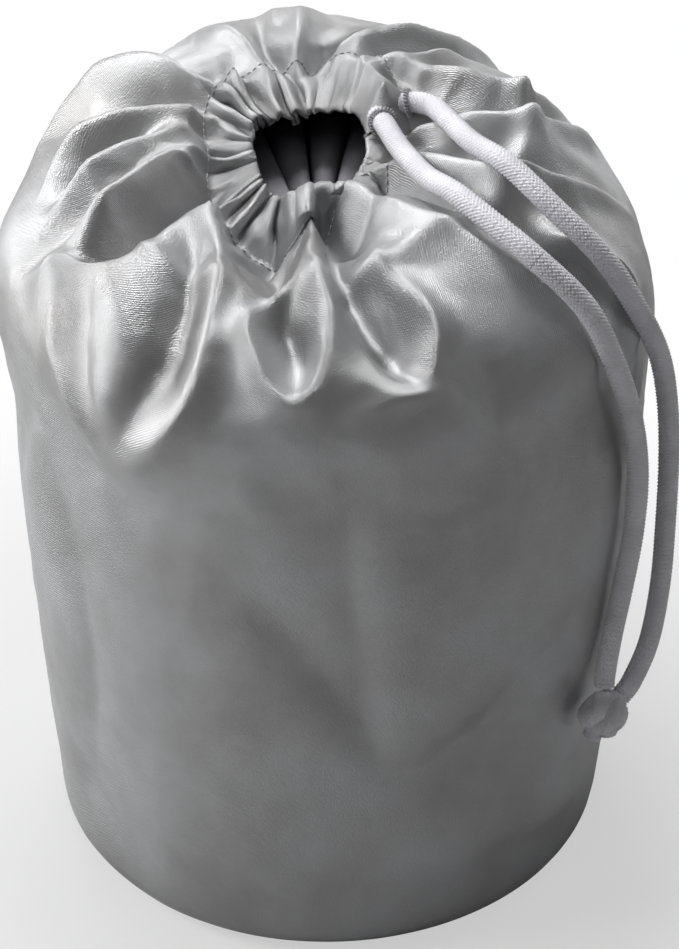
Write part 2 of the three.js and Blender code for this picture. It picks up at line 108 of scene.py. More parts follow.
# The folds of the shoulder and the wall. Each row has a name, the half widths on the side of smaller
# angles and of larger ones, a sideways lean per millimetre of height, and its crest from the hem outwards
# as (angle in degrees, run, height). A negative height is a hollow.
FOLDS = [
    ("back_left_ridge", 8, 8, 0,
     [(147, -8, 3), (150, 7, 8), (151, 18, 11), (152, 28, 11), (154, 40, 9), (160, 60, 4), (168, 80, 0)]),
    ("back_left_valley", 4.5, 4.5, 0,
     [(155, -4, -2), (159, 8, -7), (163, 18, -9), (166, 28, -8), (168, 38, -5), (170, 48, 0)]),
    ("upper_left_ridge", 5, 4, -0.2,
     [(158, -2, 2.4), (168, 9, 7.2), (176, 20, 8.4), (180, 32, 8.4), (184, 46, 6), (190, 60, 0)]),
    ("upper_left_lens", 3.5, 3.5, 0,
     [(172, 8, -2.8), (181, 20, -7), (186, 32, -8.4), (190, 44, -7), (195, 60, 0)]),
    ("lower_left_ridge", 3.5, 6, 0.1,
     [(162, 0, 3.6), (174, 10, 7.2), (186, 22, 7.2), (193, 34, 7.2), (197, 46, 4.8), (199, 60, 1.2),
      (200, 74, 0)]),
    ("left_soft_hollow", 7, 7, 0,
     [(190, 14, -1.7), (201, 30, -5.1), (205, 46, -5.1), (203, 64, -3.4), (200, 84, 0)]),
    ("left_ridge", 8, 6, 0.2,
     [(176, -6, 2), (196, 13, 8), (206, 26, 10), (211, 38, 10), (213, 50, 8), (212, 62, 5), (209, 80, 0)]),
    ("left_valley", 5, 5, 0,
     [(205, -4, -3), (212, 6, -9), (217, 16, -13), (219, 28, -14), (220, 40, -12), (219, 49, -9),
      (213, 56, -5), (208, 61, 0)]),
    ("flap_edge", 3.5, 9, -0.5,
     [(220, -2, 2), (222, 7, 3), (225, 17, 3), (227, 27, 1.5), (227, 38, 0.5), (228, 47, 2), (226, 54, 4.5),
      (220, 59, 5), (213, 60, 2)]),
    ("flap_body", 15, 15, 0,
     [(232, 26, 2), (234, 45, 4), (232, 66, 5), (233, 88, 4), (237, 112, 0)]),
    ("flap_left_line", 5, 4, 0,
     [(210, 60, 0.6), (214, 66, 1.8), (219, 79, 2.4), (224, 93, 2.4), (229, 106, 1.8), (234, 117, 0)]),
    ("flap_crease", 5, 6, 0, [(222, 66, -3), (226, 80, -3.5), (229, 94, -2.5), (233, 108, 0)]),
    ("flap_fall", 5, 5, 0,
     [(236, 24, -2), (240, 38, -5), (242, 54, -6), (242, 72, -6), (239, 90, -4), (235, 106, 0)]),
    ("front_left_ridge", 4, 8, 0.3,
     [(219, 0, 2), (224, 8, 5), (237, 22, 7), (245, 36, 8), (248, 50, 8), (249, 64, 8), (248, 79, 7),
      (244, 94, 6), (238, 108, 3), (233, 119, 0)]),
    ("hem_pocket", 9, 8, 0, [(246, 2, -2), (255, 10, -5), (260, 20, -6), (262, 32, -6), (261, 42, -2)]),
    ("middle_pleat", 5.5, 4.5, 0.1,
     [(265, -20, 6.5), (266, -16, 10.5), (267, -11, 15), (267, -6, 15.5), (267, -1, 16.5), (268, 4, 14.5),
      (269, 10, 12.5), (270, 18, 10.5), (270, 26, 9), (270, 34, 8), (271, 42, 5.5), (273, 50, 2)]),
    ("pleat_left_arm", 3, 3.5, 0, [(268, 26, 3), (265, 35, 5), (261, 44, 5), (258, 52, 2)]),
    ("left_crescent", 5.5, 5.5, 0,
     [(254, 36, 2), (256, 50, 4.5), (258, 62, 6), (262, 74, 5), (265, 80, 3.5), (268, 76, 4), (271, 64, 5),
      (273, 50, 5), (272, 38, 4)]),
    ("left_crescent_hollow", 4, 4, 0,
     [(263, 46, -2), (265, 54, -7), (266, 62, -9), (266, 70, -6), (266, 75, 0)]),
    ("middle_pocket", 3, 3, 0,
     [(277, -14, -2), (278, -6, -3), (279, 0, -5), (281, 8, -9), (283, 16, -9), (284, 24, -6), (284, 34, 0)]),
    ("lobe_dip", 5, 6, 0, [(303, 14, -1), (297, 17, -4), (291, 18, -6), (287, 18, -5)]),
    ("middle_crease", 3, 3.5, 0,
     [(277, 20, -3), (278, 38, -6), (280, 52, -7), (282, 62, -6), (285, 72, -4), (288, 80, 0)]),
    ("right_crescent", 5.5, 5.5, 0,
     [(286, 32, 3), (286, 42, 5), (289, 52, 6.5), (291, 62, 6.5), (289, 71, 5), (286, 77, 3.5),
      (282, 79, 3), (278, 74, 1.5)]),
    ("right_crescent_hollow", 4, 4, 0,
     [(281, 40, -2), (285, 48, -6), (286, 57, -8), (285, 66, -6), (283, 72, 0)]),
    ("lobe_edge", 5, 4, 0,
     [(271, -19, 4), (280, -18, 6), (288, -16, 6), (295, -11, 4), (299, -3, 2), (300, 8, 3), (298, 20, 3),
      (301, 32, 2.5), (307, 44, 3), (312, 56, 5), (316, 70, 6), (319, 88, 4), (330, 112, 0)]),
    ("lobe_top", 8, 7, 0,
     [(284, -15, 4), (288, -9, 9), (291, -3, 12), (293, 2, 12), (295, 8, 9), (297, 16, 5), (299, 26, 2)]),
    ("lobe_body", 13, 8, 0,
     [(296, 16, 2), (299, 28, 4), (303, 44, 4), (308, 62, 4), (314, 84, 3), (324, 110, 0)]),
    ("front_right_slit", 3, 3.5, 0,
     [(338, -14, -2), (332, 0, -7), (326, 13, -9), (323, 25, -9), (323, 37, -7), (325, 50, -6), (327, 62, -3),
      (328, 72, 0)]),
    ("right_ridge", 5, 4, 0,
     [(334, -18, 3), (340, -7, 6), (338, 6, 8), (332, 19, 8), (332, 29, 7), (336, 38, 7), (342, 47, 6),
      (349, 56, 5), (355, 66, 2), (358, 78, 0)]),
    ("strand_ridge", 3, 5, 0,
     [(322, 50, 1), (328, 57, 4), (333, 66, 5), (336, 75, 6), (335, 86, 4), (332, 100, 0)]),
    ("strand_hollow", 3.5, 3.5, 0,
     [(320, 58, -2), (324, 67, -6), (327, 75, -9), (326, 85, -6), (324, 98, 0)]),
    ("lobe_hollow", 4, 4, 0, [(321, 84, -1), (322, 94, -4), (326, 106, -2), (331, 116, 0)]),
    ("right_hollow", 6, 5, 0,
     [(352, -6, -2.4), (351, 5, -6), (348, 17, -8.4), (347, 30, -7.2), (351, 42, -4.8), (357, 54, 0)]),
    ("right_back_ridge", 5, 4, 0.2,
     [(8, -4, 2), (3, 8, 5), (1, 20, 7), (2, 33, 7), (8, 46, 6), (14, 57, 4), (21, 70, 0)]),
    ("right_bump", 4, 4, 0, [(345, 34, 0), (351, 37, 4), (358, 39, 3), (4, 42, 0)]),
    ("right_back_hollow", 4, 4, 0,
     [(22, 2, -2.5), (17, 12, -6.2), (12, 24, -7.5), (12, 36, -6.2), (16, 48, -3.8), (22, 60, 0)]),
    ("back_right_low_ridge", 4, 4, 0.2,
     [(60, -5, 2), (54, 0, 6), (44, 6, 8), (32, 14, 8), (24, 26, 7), (20, 37, 6), (22, 47, 4), (27, 60, 0)]),
    ("back_right_spur", 4, 4, 0, [(50, 3, 2), (46, 11, 5), (44, 20, 5), (46, 32, 1)]),
    ("back_right_hollow", 4, 4, 0,
     [(64, 3, -2.4), (58, 11, -7.2), (53, 20, -9.6), (48, 33, -7.2), (43, 46, -4.8), (40, 60, 0)]),
    ("back_right_ridge", 6, 5, 0.1,
     [(80, 0, 2), (72, 7, 7), (63, 15, 8), (56, 28, 6), (50, 44, 3), (46, 64, 0)]),
    ("back_hollow", 3.5, 3.5, 0,
     [(93, -5, -3), (88, 3, -9), (80, 10, -10), (72, 18, -8), (66, 28, -4), (62, 40, 0)]),
    ("back_lobe", 22, 20, 0, [(100, 8, 1), (101, 30, 4), (101, 52, 4), (99, 78, 0)]),
    ("back_pleat", 4, 4, 0, [(100, -8, 2), (98, 2, 6), (95, 10, 6), (94, 22, 3), (94, 36, 0)]),
    ("back_left_hollow", 4, 4, 0,
     [(105, -4, -3), (105, 4, -8), (106, 14, -8), (106, 28, -5), (106, 44, 0)]),
    ("back_left_pleat", 4, 4, 0, [(110, -8, 3), (112, 1, 6), (115, 11, 6), (118, 22, 4), (122, 36, 0)]),
    ("back_left_tab", 5, 4, 0, [(137, -8, 4), (133, -2, 7), (128, 0, 6), (124, -4, 3)]),
    ("left_back_crease", 4, 4, 0,
     [(122, 2, -3), (127, 8, -7), (132, 16, -8), (136, 26, -6), (140, 38, -3), (143, 50, 0)]),
    ("wall_crease", 10, 5, 0,
     [(273, 92, 0), (274, 115, -2.5), (274, 140, -3.4), (276, 168, -3.9), (278, 198, -3), (282, 216, 0)]),
    ("wall_wedge", 8, 8, 0,
     [(280, 206, 0), (288, 216, -4.2), (298, 208, -4.8), (308, 194, -4.2), (320, 176, 0)]),
    ("wall_diagonal", 8, 12, 0,
     [(250, 136, 0), (259, 152, -3.8), (266, 168, -4.5), (274, 190, -3.8), (283, 220, 0)]),
    ("lower_left_wrinkle", 6, 8, 0,
     [(226, 232, 0), (236, 238, 2), (247, 250, 2.4), (262, 257, 1.7), (274, 260, 0)]),
    ("lower_right_wrinkle", 7, 7, 0,
     [(282, 250, 0), (296, 249, 2), (312, 251, 2.4), (328, 256, 1.4), (340, 260, 0)]),
    ("left_wall_crease", 9, 9, 0,
     [(214, 118, 0), (217, 144, -3), (221, 172, -3.4), (221, 210, -3), (214, 258, 0)]),
    ("lower_left_dent", 13, 12, 0, [(204, 236, 0), (214, 250, -3), (226, 262, -3), (238, 270, 0)]),
    ("right_wall_crease", 8, 8, 0,
     [(300, 70, 0), (299, 88, -2.5), (304, 112, -2.9), (312, 136, -1.7), (318, 156, 0)]),
    ("right_wall_ridge", 9, 9, 0, [(318, 96, 0), (323, 120, 2), (327, 145, 2.4), (329, 172, 0)]),
    ("hem_channel", 7.5, 7.5, 0,
     [(78, -1, 3), (67, -4, 8), (55, -7, 10), (44, -9, 12), (36, -10, 13), (30, -11, 12), (25, -12, 6),
      (21, -12, 1)]),
    ("cord_mouth", 5, 5, 0, [(40, -6, 2), (35, -4, 6), (30, -2, 7), (26, -1, 3)]),
    ("left_bulge", 45, 45, 0, [(183, 62, 0), (183, 80, 3), (183, 98, 2.2), (184, 130, 0)]),
    ("right_bulge", 50, 50, 0,
     [(357, 86, 0.5), (357, 104, 2.2), (357, 150, 2.2), (357, 220, 2), (357, 264, 0)]),
]

# How a fold's height falls away from its crest: a hollow has a sharper bottom than a ridge has a top
RIDGE_ROUNDNESS = 1.7
HOLLOW_ROUNDNESS = 1.35
# Straight pieces in which each crest is drawn
CREST_STEPS = 20

# The fine gathers: how many go round the hem, and where they are stronger or weaker, as
# (middle in degrees, half width in degrees, steepness of the change, change)
GATHER_COUNT = 31
GATHER_CHANGES = [(44, 20, 2, -0.8), (283, 20, 4, -0.7), (108, 36, 4, 0.5)]


# ---------------------------------------------------------------- the bag's mean form


def outward(angle):
    return np.stack([np.cos(angle), np.sin(angle), 0 * angle], -1)


def smooth_between(a, b, c, d, t):
    """The value at t from 0 to 1 between b and c, on a smooth curve that also heeds a and d."""
    bend = (2 * a - 5 * b + 4 * c - d) * t * t + (3 * b - a - 3 * c + d) * t ** 3
    return 0.5 * (2 * b + (c - a) * t + bend)


def around_table(table, column, angle):
    """A smooth value round the bag from the rows of a table whose first column is the angle."""
    rows = np.array(table, float)
    knots = np.concatenate([rows[-2:, 0] - 360, rows[:, 0], rows[:3, 0] + 360])
    values = np.concatenate([rows[-2:, column], rows[:, column], rows[:3, column]])
    degrees = np.degrees(angle) % 360
    i = np.clip(np.searchsorted(knots, degrees, side="right") - 1, 1, len(knots) - 3)
    t = (degrees - knots[i]) / (knots[i + 1] - knots[i])
    return smooth_between(values[i - 1], values[i], values[i + 1], values[i + 2], t)


def hem_edge(angle, radius, drop):
    """A point of the drawn-in hem at a radius from the mouth's middle."""
    x = MOUTH["x"] + radius * np.cos(angle)
    y = MOUTH["y"] + radius * np.sin(angle)
    fall = np.radians(HEM_FALL["side"] - HEM_FALL["front"] * np.sin(angle))
    level = MOUTH["z"] + MOUTH["slope"] * MOUTH["radius"] * np.sin(angle)
    return np.stack([x, y, level - np.tan(fall) * (radius - MOUTH["radius"]) - drop], -1)


def hem_point(angle, run):
    rim = hem_edge(angle, around_table(HEM_SHAPE, 1, angle), around_table(HEM_SHAPE, 3, angle))
    stitch = hem_edge(angle, around_table(HEM_SHAPE, 2, angle), around_table(HEM_SHAPE, 4, angle))
    share = (run + HEM_WIDTH)[..., None] / HEM_WIDTH
    return rim + (stitch - rim) * share


def raised(points, height):
    lifted = points.copy()
    lifted[..., 2] += height
    return lifted


def shoulder_point(angle, run):
    """A cubic from the stitch line over the shoulder to the top of the wall. The back stands higher."""
    back = np.sin(angle)
    out = outward(angle)
    wall_end = raised(out * BAG_RADIUS, WALL_TOP)
    wall_handle = raised(wall_end, SHOULDER["wall_up"] + SHOULDER["wall_up_back"] * back)
    stitch = hem_point(angle, 0 * run)
    reach = SHOULDER["stitch_out"] + SHOULDER["stitch_out_back"] * back
    stitch_handle = stitch + out * reach[..., None]
    stitch_handle = raised(stitch_handle, SHOULDER["stitch_up"] + SHOULDER["stitch_up_back"] * back)
    t = (run / SHOULDER_RUN)[..., None]
    s = 1 - t
    return (stitch * s ** 3 + 3 * stitch_handle * s * s * t
            + 3 * wall_handle * s * t * t + wall_end * t ** 3)


def wall_point(angle, run):
    """The wall, and the rounded edge of the base below it."""
    height = np.maximum(WALL_TOP + SHOULDER_RUN - run, BASE_FILLET)
    k = (height - BASE_FILLET) / (WALL_TOP - BASE_FILLET)
    radius = BASE_RADIUS + (BAG_RADIUS - BASE_RADIUS) * k + WALL_BULGE * 4 * k * (1 - k)
    turn = np.clip((run - WALL_END_RUN) / BASE_FILLET, 0, math.pi / 2)
    radius = radius - BASE_FILLET * (1 - np.cos(turn))
    return raised(outward(angle) * radius[..., None], height - BASE_FILLET * np.sin(turn))


def mean_point(angle, run):
    hem = hem_point(angle, np.clip(run, -HEM_WIDTH, 0))
    shoulder = shoulder_point(angle, np.clip(run, 0, SHOULDER_RUN))
    wall = wall_point(angle, np.maximum(run, SHOULDER_RUN))
    below_hem = np.where((run < SHOULDER_RUN)[..., None], shoulder, wall)
    return np.where((run < 0)[..., None], hem, below_hem)


def unit(vectors):
    return vectors / (np.linalg.norm(vectors, axis=-1, keepdims=True) + 1e-12)


def mean_frame(angle, run):
    """The unit directions of growing angle and of growing run, and the outward normal.

    Near the stitch line the slope is taken over a wider stretch, so that folds cross it smoothly.
    """
    wide = 14
    reach = 0.3 + wide * np.exp(-((run / wide) ** 2))
    around = np.stack([-np.sin(angle), np.cos(angle), 0 * angle], -1)
    low = np.maximum(run - reach, -HEM_WIDTH)
    high = np.minimum(run + reach, FILLET_END_RUN)
    down = mean_point(angle, high) - mean_point(angle, low)
    down = unit(down - around * (down * around).sum(-1, keepdims=True))
    return around, down, np.cross(down, around)


def nominal_radius(run):
    """The bag's radius at a run, near enough to measure across a fold."""
    spread = 0.88
    stitch = MOUTH["radius"] + spread * HEM_WIDTH
    left = 1 - np.minimum(run / SHOULDER_RUN, 1)
    outer = BAG_RADIUS - (BAG_RADIUS - stitch) * np.maximum(left, 0) ** 1.7
    return np.where(run < 0, stitch + spread * run, outer)


# ---------------------------------------------------------------- the bag's folds


def spline(rows, steps):
    """A smooth line through rows of numbers, with so many steps in all."""
    rows = np.asarray(rows, float)
    rows = np.vstack([2 * rows[0] - rows[1], rows, 2 * rows[-1] - rows[-2]])
    spans = len(rows) - 3
    points = []
    for u in np.linspace(0, spans, steps + 1):
        i = min(int(u), spans - 1)
        points.append(smooth_between(*rows[i:i + 4], u - i))
    return np.array(points)


def turn_from(start, angle):
    """The shorter turn from one angle to another, between half a turn back and half a turn on."""
    return (angle - start + np.pi) % (2 * np.pi) - np.pi


def fold_relief(angle, run):
    """Height along the mean normal, and shift around and down the bag, of all the folds together."""
    radius = nominal_radius(run)
    height = np.zeros(angle.shape)
    shift = np.zeros(angle.shape + (2,))
    for _name, before, after, lean, crest in FOLDS:
        line = spline([(math.radians(a), r, h) for a, r, h in crest], CREST_STEPS)
        nearest = np.full(angle.shape, np.inf)
        side = np.zeros(angle.shape)
        crest_height = np.zeros(angle.shape)
        across = np.zeros(angle.shape + (2,))
        for start, end in zip(line[:-1], line[1:]):
            dx = turn_from(start[0], angle) * radius
            dy = run - start[1]
            ex = (end[0] - start[0]) * radius
            ey = end[1] - start[1]
            k = np.clip((dx * ex + dy * ey) / (ex * ex + ey * ey), 0, 1)
            px = dx - k * ex
            py = dy - k * ey
            distance = np.hypot(px, py)
            length = np.hypot(ex, ey)
            closer = distance < nearest
            nearest = np.where(closer, distance, nearest)
            side = np.where(closer, (px * ey - py * ex) / length, side)
            crest_height = np.where(closer, start[2] + (end[2] - start[2]) * k, crest_height)
            across = np.where(closer[..., None], np.stack([ey / length, -ex / length], -1), across)
        width = np.where(side > 0, after, before)
        roundness = np.where(crest_height > 0, RIDGE_ROUNDNESS, HOLLOW_ROUNDNESS)
        fold = crest_height * np.exp(-((nearest / width) ** roundness))
        height += fold
        shift += (lean * fold)[..., None] * across
    return height, shift[..., 0], shift[..., 1]


def gather_wave(angle, run):
    """Uneven gathers held by the hem: a height from -1 to 1 and how far each gather rolls sideways."""
    wander = 1.7 * np.sin(5 * angle + 0.7 + run / 17) + 1.2 * np.sin(9 * angle + 2.1 - run / 11)
    wander += 0.9 * np.sin(14 * angle + run / 8) + 0.5 * np.sin(23 * angle - run / 6)
    phase = GATHER_COUNT * angle + wander
    size = 0.72 + 0.3 * np.sin(3 * angle + 1) + 0.26 * np.sin(8 * angle + 0.4) + 0.2 * np.sin(13 * angle + 2)
    for middle, half_width, steepness, change in GATHER_CHANGES:
        away = turn_from(math.radians(middle), angle) / math.radians(half_width)
        size = size * (1 + change * np.exp(-(away ** steepness)))
    wave = 1 - 2 * np.abs(np.sin(phase / 2)) ** 1.3
    wave += 0.3 * np.sin(2.7 * phase + 1.1) * np.clip(-run / 10, 0, 1)
    fade = np.where(run < 0, 1, np.exp(-(np.maximum(run, 0) / 10) ** 1.4))
    pinch = 1 - 0.4 * np.exp(-((run / 2.5) ** 2))
    return size * fade * pinch * wave, size * fade * np.sin(phase + 0.9) * np.clip(-run / 6, 0, 1)


def crumple_height(angle, run):
    """Small soft dents over the whole bag, and long slack waves in its wall, both easing off at the base."""
    dent_size = 38
    slack_length = 80
    values = []
    for a, r in zip(angle.ravel(), run.ravel()):
        place = Vector((2.6 * math.cos(a), 2.6 * math.sin(a), r / dent_size))
        dents = noise.fractal(place, 0.9, 2.1, 4) - 0.35 * abs(noise.noise(place * 2.3))
        values.append((dents, noise.noise(Vector((place.x * 0.7, place.y * 0.7, r / slack_length + 5)))))
    dents, slack = np.array(values).T.reshape(2, *angle.shape)
    shoulder = np.exp(-(((run - 55) / 45) ** 2))
    ease = np.clip((FILLET_END_RUN - 8 - run) / 25, 0, 1)
    return (dents * (0.7 + 0.4 * shoulder) + 1.6 * slack * (1 - shoulder)) * ease


def bag_surface(angle, run, gather_depth):
    """The bag's outer face, before its cloth has settled."""
    around, down, normal = mean_frame(angle, run)
    height, shift_around, shift_down = fold_relief(angle, run)
    gather, roll = gather_wave(angle, run)
    height = height + gather_depth * gather
    shift_around = shift_around + 0.7 * gather_depth * roll
    shifted = around * shift_around[..., None] + down * shift_down[..., None]
    return mean_point(angle, run) + normal * height[..., None] + shifted


# ---------------------------------------------------------------- meshes


def place_in_scene(name, data):
    holder = bpy.data.objects.new(name, data)
    bpy.context.collection.objects.link(holder)
    return holder


def mesh_piece(name, points, faces, material, corner_uvs=None):
    """A smooth-shaded mesh object from points in metres."""
    mesh = bpy.data.meshes.new(name)
    mesh.from_pydata(np.asarray(points).tolist(), [], [list(face) for face in faces])
    mesh.polygons.foreach_set("use_smooth", [True] * len(mesh.polygons))
    if corner_uvs is not None:
        layer = mesh.uv_layers.new(name="cloth")
        layer.data.foreach_set("uv", np.asarray(corner_uvs, np.float32).ravel())
    mesh.materials.append(material)
    mesh.update()
    return place_in_scene(name, mesh)


def tie_to_part(piece, node=None):
    """Rides a piece on the part's one body, and in place of its solid when a node is given."""
    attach(piece, "root")
    if node:
        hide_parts(node)


def ring_faces(row_count, ring_size, first=0):
    """Quads between stacked closed rings of points."""
    faces = []
    for row in range(first, first + (row_count - 1) * ring_size, ring_size):
        for j in range(ring_size):
            k = (j + 1) % ring_size
            faces.append((row + j, row + ring_size + j, row + ring_size + k, row + k))
    return faces


def grid_normals(points):
    """Normals of a grid whose columns close on themselves."""
    around = np.roll(points, -1, 1) - np.roll(points, 1, 1)
    down = np.gradient(points, axis=0)
    return unit(np.cross(down, around))


def running_length(points):
    """The distance along a line at each of its points."""
    steps = np.linalg.norm(np.diff(points, axis=0), axis=1)
    return np.concatenate([[0], np.cumsum(steps)])


def resample(points, step):
    """Points at even steps along a line."""
    place = running_length(points)
    count = max(2, int(round(place[-1] / step)) + 1)
    wanted = np.linspace(0, place[-1], count)
    return np.stack([np.interp(wanted, place, points[:, k]) for k in range(3)], -1)


def joined(parts):
    """Points and faces of several meshes as one."""
    points = np.vstack([part_points for part_points, _faces in parts])
    faces = []
    start = 0
    for part_points, part_faces in parts:
        faces += [tuple(start + i for i in face) for face in part_faces]
        start += len(part_points)
    return points, faces


def tube_frames(centres):
    """The tangent and two directions across it at each point, turning as little as they can."""
    tangents = unit(np.gradient(centres, axis=0))
    first = np.cross(tangents[0], (0.3, 0.2, 1.0))
    sides = [first / np.linalg.norm(first)]
    for tangent in tangents[1:]:
        side = sides[-1] - tangent * (sides[-1] @ tangent)
        sides.append(side / np.linalg.norm(side))
    sides = np.array(sides)
    return tangents, sides, np.cross(tangents, sides)


def tube_sides(centres, distance, ring_size):
    """Points and side faces of a tube. Its distance from its middle may change over the rings."""
    _tangents, sides, ups = tube_frames(centres)
    angle = np.linspace(0, 2 * np.pi, ring_size, endpoint=False)[None, :, None]
    spoke = sides[:, None, :] * np.cos(angle) + ups[:, None, :] * np.sin(angle)
    points = (centres[:, None, :] + spoke * distance).reshape(-1, 3)
    return points, [face[::-1] for face in ring_faces(len(centres), ring_size)]


def plain_tube(centres, radius, ring_size=6):
    """Points and faces of a thin thread with flat ends."""
    points, faces = tube_sides(centres, radius, ring_size)
    last = len(points) - ring_size
    ends = [tuple(range(ring_size)), tuple(last + j for j in reversed(range(ring_size)))]
    return points, faces + ends


def braided_tube(centres, radius, carriers=14, pitch=1.35, relief=0.42):
    """Points and faces of a braided cord along centres, all in millimetres."""
    ring_size = 4 * carriers
    along = running_length(centres)[:, None]
    around = np.linspace(0, 1, ring_size, endpoint=False)[None, :]
    left = np.abs(np.sin(np.pi * (carriers * around + along / pitch)))
    right = np.abs(np.sin(np.pi * (carriers * around - along / pitch)))
    distance = radius + relief * (2 * np.sqrt(left * right) - 1)
    points, faces = tube_sides(centres, distance[..., None], ring_size)
    start = len(points)
    last = start - ring_size
    for j in range(ring_size):
        k = (j + 1) % ring_size
        faces += [(start, k, j), (start + 1, last + j, last + k)]
    return np.vstack([points, centres[:1], centres[-1:]]), faces


# ---------------------------------------------------------------- material helpers


def new_material(name):
    material = bpy.data.materials.new(name)
    material.use_nodes = True
    tree = material.node_tree
    shader = tree.nodes["Principled BSDF"]
    return material, tree, shader


def add_node(tree, kind, **settings):
    node = tree.nodes.new(kind)
    inputs = settings.pop("inputs", {})
    for key, value in settings.items():
        setattr(node, key, value)
    for key, value in inputs.items():
        node.inputs[key].default_value = value
    return node


def math_node(tree, operation, a, b=None):
    node = tree.nodes.new("ShaderNodeMath")
    node.operation = operation
    for slot, value in enumerate((a, b)):
        if value is None:
            continue
        if isinstance(value, (int, float)):
            node.inputs[slot].default_value = value
        else:
            tree.links.new(value, node.inputs[slot])
    return node.outputs[0]


def weave_group():
    """A fine diagonal weave from a cloth's own coordinates in millimetres: its height from 0 to 1."""
    found = bpy.data.node_groups.get("Diagonal weave")
    if found:
        return found
    group = bpy.data.node_groups.new("Diagonal weave", "ShaderNodeTree")
    sockets = group.interface
    sockets.new_socket(name="Place", in_out="INPUT", socket_type="NodeSocketVector")
    sockets.new_socket(name="Pitch", in_out="INPUT", socket_type="NodeSocketFloat").default_value = 0.65
    sockets.new_socket(name="Height", in_out="OUTPUT", socket_type="NodeSocketFloat")
    source = group.nodes.new("NodeGroupInput")
    result = group.nodes.new("NodeGroupOutput")
    parts = add_node(group, "ShaderNodeSeparateXYZ")
    group.links.new(source.outputs["Place"], parts.inputs[0])
    scale = math_node(group, "DIVIDE", 2 * math.pi, source.outputs["Pitch"])
    total = math_node(group, "ADD", parts.outputs[0], parts.outputs[1])
    rest = math_node(group, "SUBTRACT", parts.outputs[0], parts.outputs[1])
    ribs = math_node(group, "SINE", math_node(group, "MULTIPLY", total, scale))
    cross = math_node(group, "SINE", math_node(group, "MULTIPLY", rest, scale))
    height = math_node(group, "ADD", ribs, math_node(group, "MULTIPLY", cross, 0.35))
    group.links.new(math_node(group, "MULTIPLY_ADD", height, 0.37), result.inputs["Height"])
    return group


def link_bumps(tree, shader, heights):
    """Chains bump nodes, each from (height socket, depth in metres), into the shader's normal."""
    last = None
    for socket, depth in heights:
        bump = add_node(tree, "ShaderNodeBump", inputs={"Strength": 1.0, "Distance": depth})
        tree.links.new(socket, bump.inputs["Height"])
        if last is not None:
            tree.links.new(last, bump.inputs["Normal"])
        last = bump.outputs["Normal"]
    tree.links.new(last, shader.inputs["Normal"])


def weave_height(tree, pitch):
    """The weave group, placed on the cloth's own coordinates."""
    weave = tree.nodes.new("ShaderNodeGroup")
    weave.node_tree = weave_group()
    weave.inputs["Pitch"].default_value = pitch
    uv = add_node(tree, "ShaderNodeUVMap", uv_map="cloth")
    tree.links.new(uv.outputs[0], weave.inputs["Place"])
    return weave.outputs["Height"]


def noise_value(tree, scale, detail, roughness=0.5, **settings):
    """Noise in the piece's own coordinates, in metres."""
    inputs = {"Scale": scale, "Detail": detail, "Roughness": roughness}
    texture = add_node(tree, "ShaderNodeTexNoise", inputs=inputs, **settings)
    place = add_node(tree, "ShaderNodeTexCoord")
    tree.links.new(place.outputs["Object"], texture.inputs["Vector"])
    return texture.outputs[0]


def tint_by(tree, shader, value, dark_at, dark, light_at, light):
    """Runs the base colour from a dark one to a light one as a value grows."""
    tint = tree.nodes.new("ShaderNodeValToRGB")
    for element, place, colour in zip(tint.color_ramp.elements, (dark_at, light_at), (dark, light)):
        element.position = place
        element.color = (*colour, 1)
    tree.links.new(value, tint.inputs[0])
    tree.links.new(tint.outputs[0], shader.inputs["Base Color"])


def roughen_by(tree, shader, value, low, high, low_at=0.0, high_at=1.0):
    """Runs the roughness from low to high as a value grows."""
    rough = add_node(tree, "ShaderNodeMapRange", inputs={
        "From Min": low_at, "From Max": high_at, "To Min": low, "To Max": high})
    tree.links.new(value, rough.inputs[0])
    tree.links.new(rough.outputs[0], shader.inputs["Roughness"])


def silver_cloth(settings):
    """Silver-coated polyester: a satin metallic coat on a diagonal weave, with small pressed creases."""
    material, tree, shader = new_material("Silver-coated cloth")
    shader.inputs["Metallic"].default_value = settings.sheen
    light = settings.cloth_colour
    dark = (0.76 * light[0], 0.74 * light[1], 0.72 * light[2])
    cloud = noise_value(tree, 22.0, 6.0, 0.6)
    tint_by(tree, shader, cloud, 0.35, dark, 0.65, light)
    roughen_by(tree, shader, cloud, 0.39, 0.48, low_at=0.3, high_at=0.7)
    crease = noise_value(tree, 18.0, 3.0, 0.45, noise_type="RIDGED_MULTIFRACTAL")
    grain = noise_value(tree, 1400.0, 2.0)
    weave = weave_height(tree, settings.weave_pitch)
    link_bumps(tree, shader, [(crease, 0.0009), (grain, 0.00016), (weave, 0.00008)])
    return material


def dark_cloth(settings):
    """The cover's own dark cloth, with the same kind of weave and a dull finish."""
    material, tree, shader = new_material("Dark cover cloth")
    shader.inputs["Metallic"].default_value = 0.0
    fine = noise_value(tree, 60.0, 5.0)
    light = settings.cover_colour
    tint_by(tree, shader, fine, 0.35, [0.7 * c for c in light], 0.65, light)
    roughen_by(tree, shader, fine, 0.5, 0.68)
    link_bumps(tree, shader, [(fine, 0.0012), (weave_height(tree, 0.6), 0.00005)])
    return material


def cord_yarn(name, colour):
    """Braiding or sewing yarn: matt, with faint soiling and fine fibre lines."""
    material, tree, shader = new_material(name)
    shader.inputs["Metallic"].default_value = 0.0
    soil = noise_value(tree, 90.0, 4.0)
    tint_by(tree, shader, soil, 0.3, [0.84 * c for c in colour], 0.6, colour)
    fibre = noise_value(tree, 2600.0, 2.0)
    roughen_by(tree, shader, fibre, 0.5, 0.72)
    link_bumps(tree, shader, [(fibre, 0.00006)])
    return material


# ---------------------------------------------------------------- the cord's pieces


# The length of a strand's rings in millimetres
STRAND_STEP = 0.28


